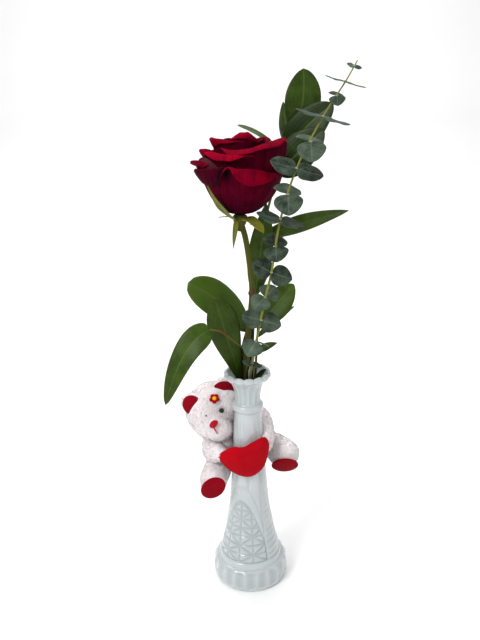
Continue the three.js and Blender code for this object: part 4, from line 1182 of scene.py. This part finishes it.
def forehead_flower(red, yellow):
    """Felt flower with round petals, crowned and thin at its edge, and a small domed centre"""
    turns = around(60)
    reach = FLOWER_RADIUS * (0.72 + 0.28 * np.abs(np.cos(FLOWER_PETALS * (turns + math.pi / 2) / 2)) ** 0.7)
    profile = [
        (0.3, -0.05), (0.7, -0.05), (0.95, 0.0), (1.0, 0.35), (0.96, 0.75), (0.8, 1.05), (0.5, 1.15),
        (0.2, 1.15),
    ]
    rings = [circle(turns) * (reach * share)[:, None] + vec(0, 0, high) for share, high in profile]
    flower, faces = lathe(np.array(rings), vec(0, 0, -0.05), vec(0, 0, 1.15))
    centre, dome_faces = ellipsoid((0, 0, 1.5), (1.9, 1.9, 0.75), sides=32)
    turned = rotated((math.pi / 2 - FLOWER_LEAN, 0, 0))
    petals = [(flower @ turned.T + FLOWER_CENTRE, faces)]
    dome = [(centre @ turned.T + FLOWER_CENTRE, dome_faces)]
    place(solid("bear_flower_felt", petals, red), "red_felt", "bear_flower")
    place(solid("bear_flower_centre_felt", dome, yellow), "yellow_felt", "bear_flower_centre")


def bear():
    # The white plush's darker, pinker tone is painted shade between its tufts, tinted pink as painted bounce
    # from the red felt.
    white = plush_finish("plush", (0.74, 0.64, 0.65), (0.9, 0.85, 0.86), 0.25)
    blades = plush_finish("plush_pile", (0.93, 0.87, 0.88), (0.98, 0.96, 0.96), 0.05)
    red = plush_finish("red_felt", (0.29, 0, 0.004), (0.45, 0, 0.008), 0.3, 900, 0.01)
    dark_red = plush_finish("dark_red_felt", (0.17, 0, 0.005), (0.27, 0, 0.008), 0.3, 900, 0.01)
    yellow = plush_finish("yellow_felt", (0.75, 0.42, 0.004), (0.9, 0.62, 0.01), 0.2, 900, 0.05)
    trims = [*LININGS.values(), NOSE, EYES["right"]]
    head_forms = [ellipsoid(*form, 48) for form in HEAD] + [ellipsoid(*ear, 32) for ear in EARS.values()]
    torso_forms = [ellipsoid(*form, 40) for form in TORSO]
    stuffed = [("head", head_forms, trims), ("torso", torso_forms, ())]
    for name, (path, radii) in LIMBS.items():
        stuffed.append((name, [tube(path, radii, 32, 24, dome=0.85)], SOLES.values()))
    for name, forms, bare in stuffed:
        piece = place(skin(f"bear_{name}_plush", forms, white), "plush", f"bear_{name}")
        pile(f"bear_{name}_pile", piece, blades, bare)

    def felt(name, form, finish):
        points, faces = form
        form = clear_of_vase(points, FELT_GAP), faces
        return place(solid(f"bear_{name}_felt", [form], finish), "red_felt", f"bear_{name}")

    felt("heart", heart_form(), red)
    for side in ("left", "right"):
        felt(f"ear_lining_{side}", ellipsoid(*LININGS[side], 48), dark_red)
        felt(f"sole_{side}", ellipsoid(*SOLES[side], 48), dark_red)
        eye = solid(f"bear_eye_{side}_bead", [ellipsoid(*EYES[side], 32)], eye_finish())
        place(eye, "eye", f"bear_eye_{side}")
    mouth = tube(MOUTH, [0.7, 0.65, 0.5], 10, 16, dome=0.8)
    nose = solid("bear_nose_stitched", [ellipsoid(*NOSE, 32), mouth], stitch_finish())
    place(nose, "red_felt", "bear_nose")
    forehead_flower(red, yellow)


bear()

water_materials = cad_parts["water"].data.materials
water_materials.clear()
water_materials.append(water_finish().material)


# Studio
def area_light(name, place, target, size, power):
    data = bpy.data.lights.new(name, "AREA")
    data.shape = "DISK"
    data.size = size
    data.energy = power
    light = scene_object(name, data)
    light.location = place
    light.rotation_euler = (Vector(target) - Vector(place)).to_track_quat("-Z", "Y").to_euler()


def studio():
    floor = Finish("floor_paper", Roughness=0.9)
    floor.feed(Base_Color=floor.ramp(floor.noise(3), (0.3, (0.93, 0.93, 0.93)), (0.7, (0.95, 0.95, 0.95))))
    profile = [(-3.0, 0.0), (0.8, 0.0), (1.3, 0.03), (1.8, 0.15), (2.2, 0.4), (2.4, 0.8), (2.4, 3.0)]
    points = [(x, y, z) for x in (-4.0, 4.0) for y, z in profile]
    count = len(profile)
    faces = [(i, count + i, count + i + 1, i + 1) for i in range(count - 1)]
    mesh = bpy.data.meshes.new("floor")
    mesh.from_pydata(points, [], faces)
    mesh.polygons.foreach_set("use_smooth", np.ones(len(faces), bool))
    mesh.materials.append(floor.material)
    scene_object("floor", mesh)
    area_light("key", (-0.85, -0.9, 1.2), (0, 0, 0.25), 0.7, 15)
    area_light("fill", (1.1, -0.8, 0.7), (0, 0, 0.25), 0.9, 3)
    area_light("top", (-0.2, 0.4, 1.7), (0, 0.1, 0.2), 1.4, 10)
    area_light("wall", (0.0, 0.9, 1.7), (0, 2.2, 0.4), 1.5, 14)
    world = bpy.data.worlds.new("world")
    world.use_nodes = True
    background = world.node_tree.nodes["Background"].inputs
    background["Color"].default_value = (1, 1, 1, 1)
    background["Strength"].default_value = 0.55
    bpy.context.scene.world = world
    bpy.context.scene.view_settings.view_transform = "Standard"


studio()

bpy.context.view_layer.update()
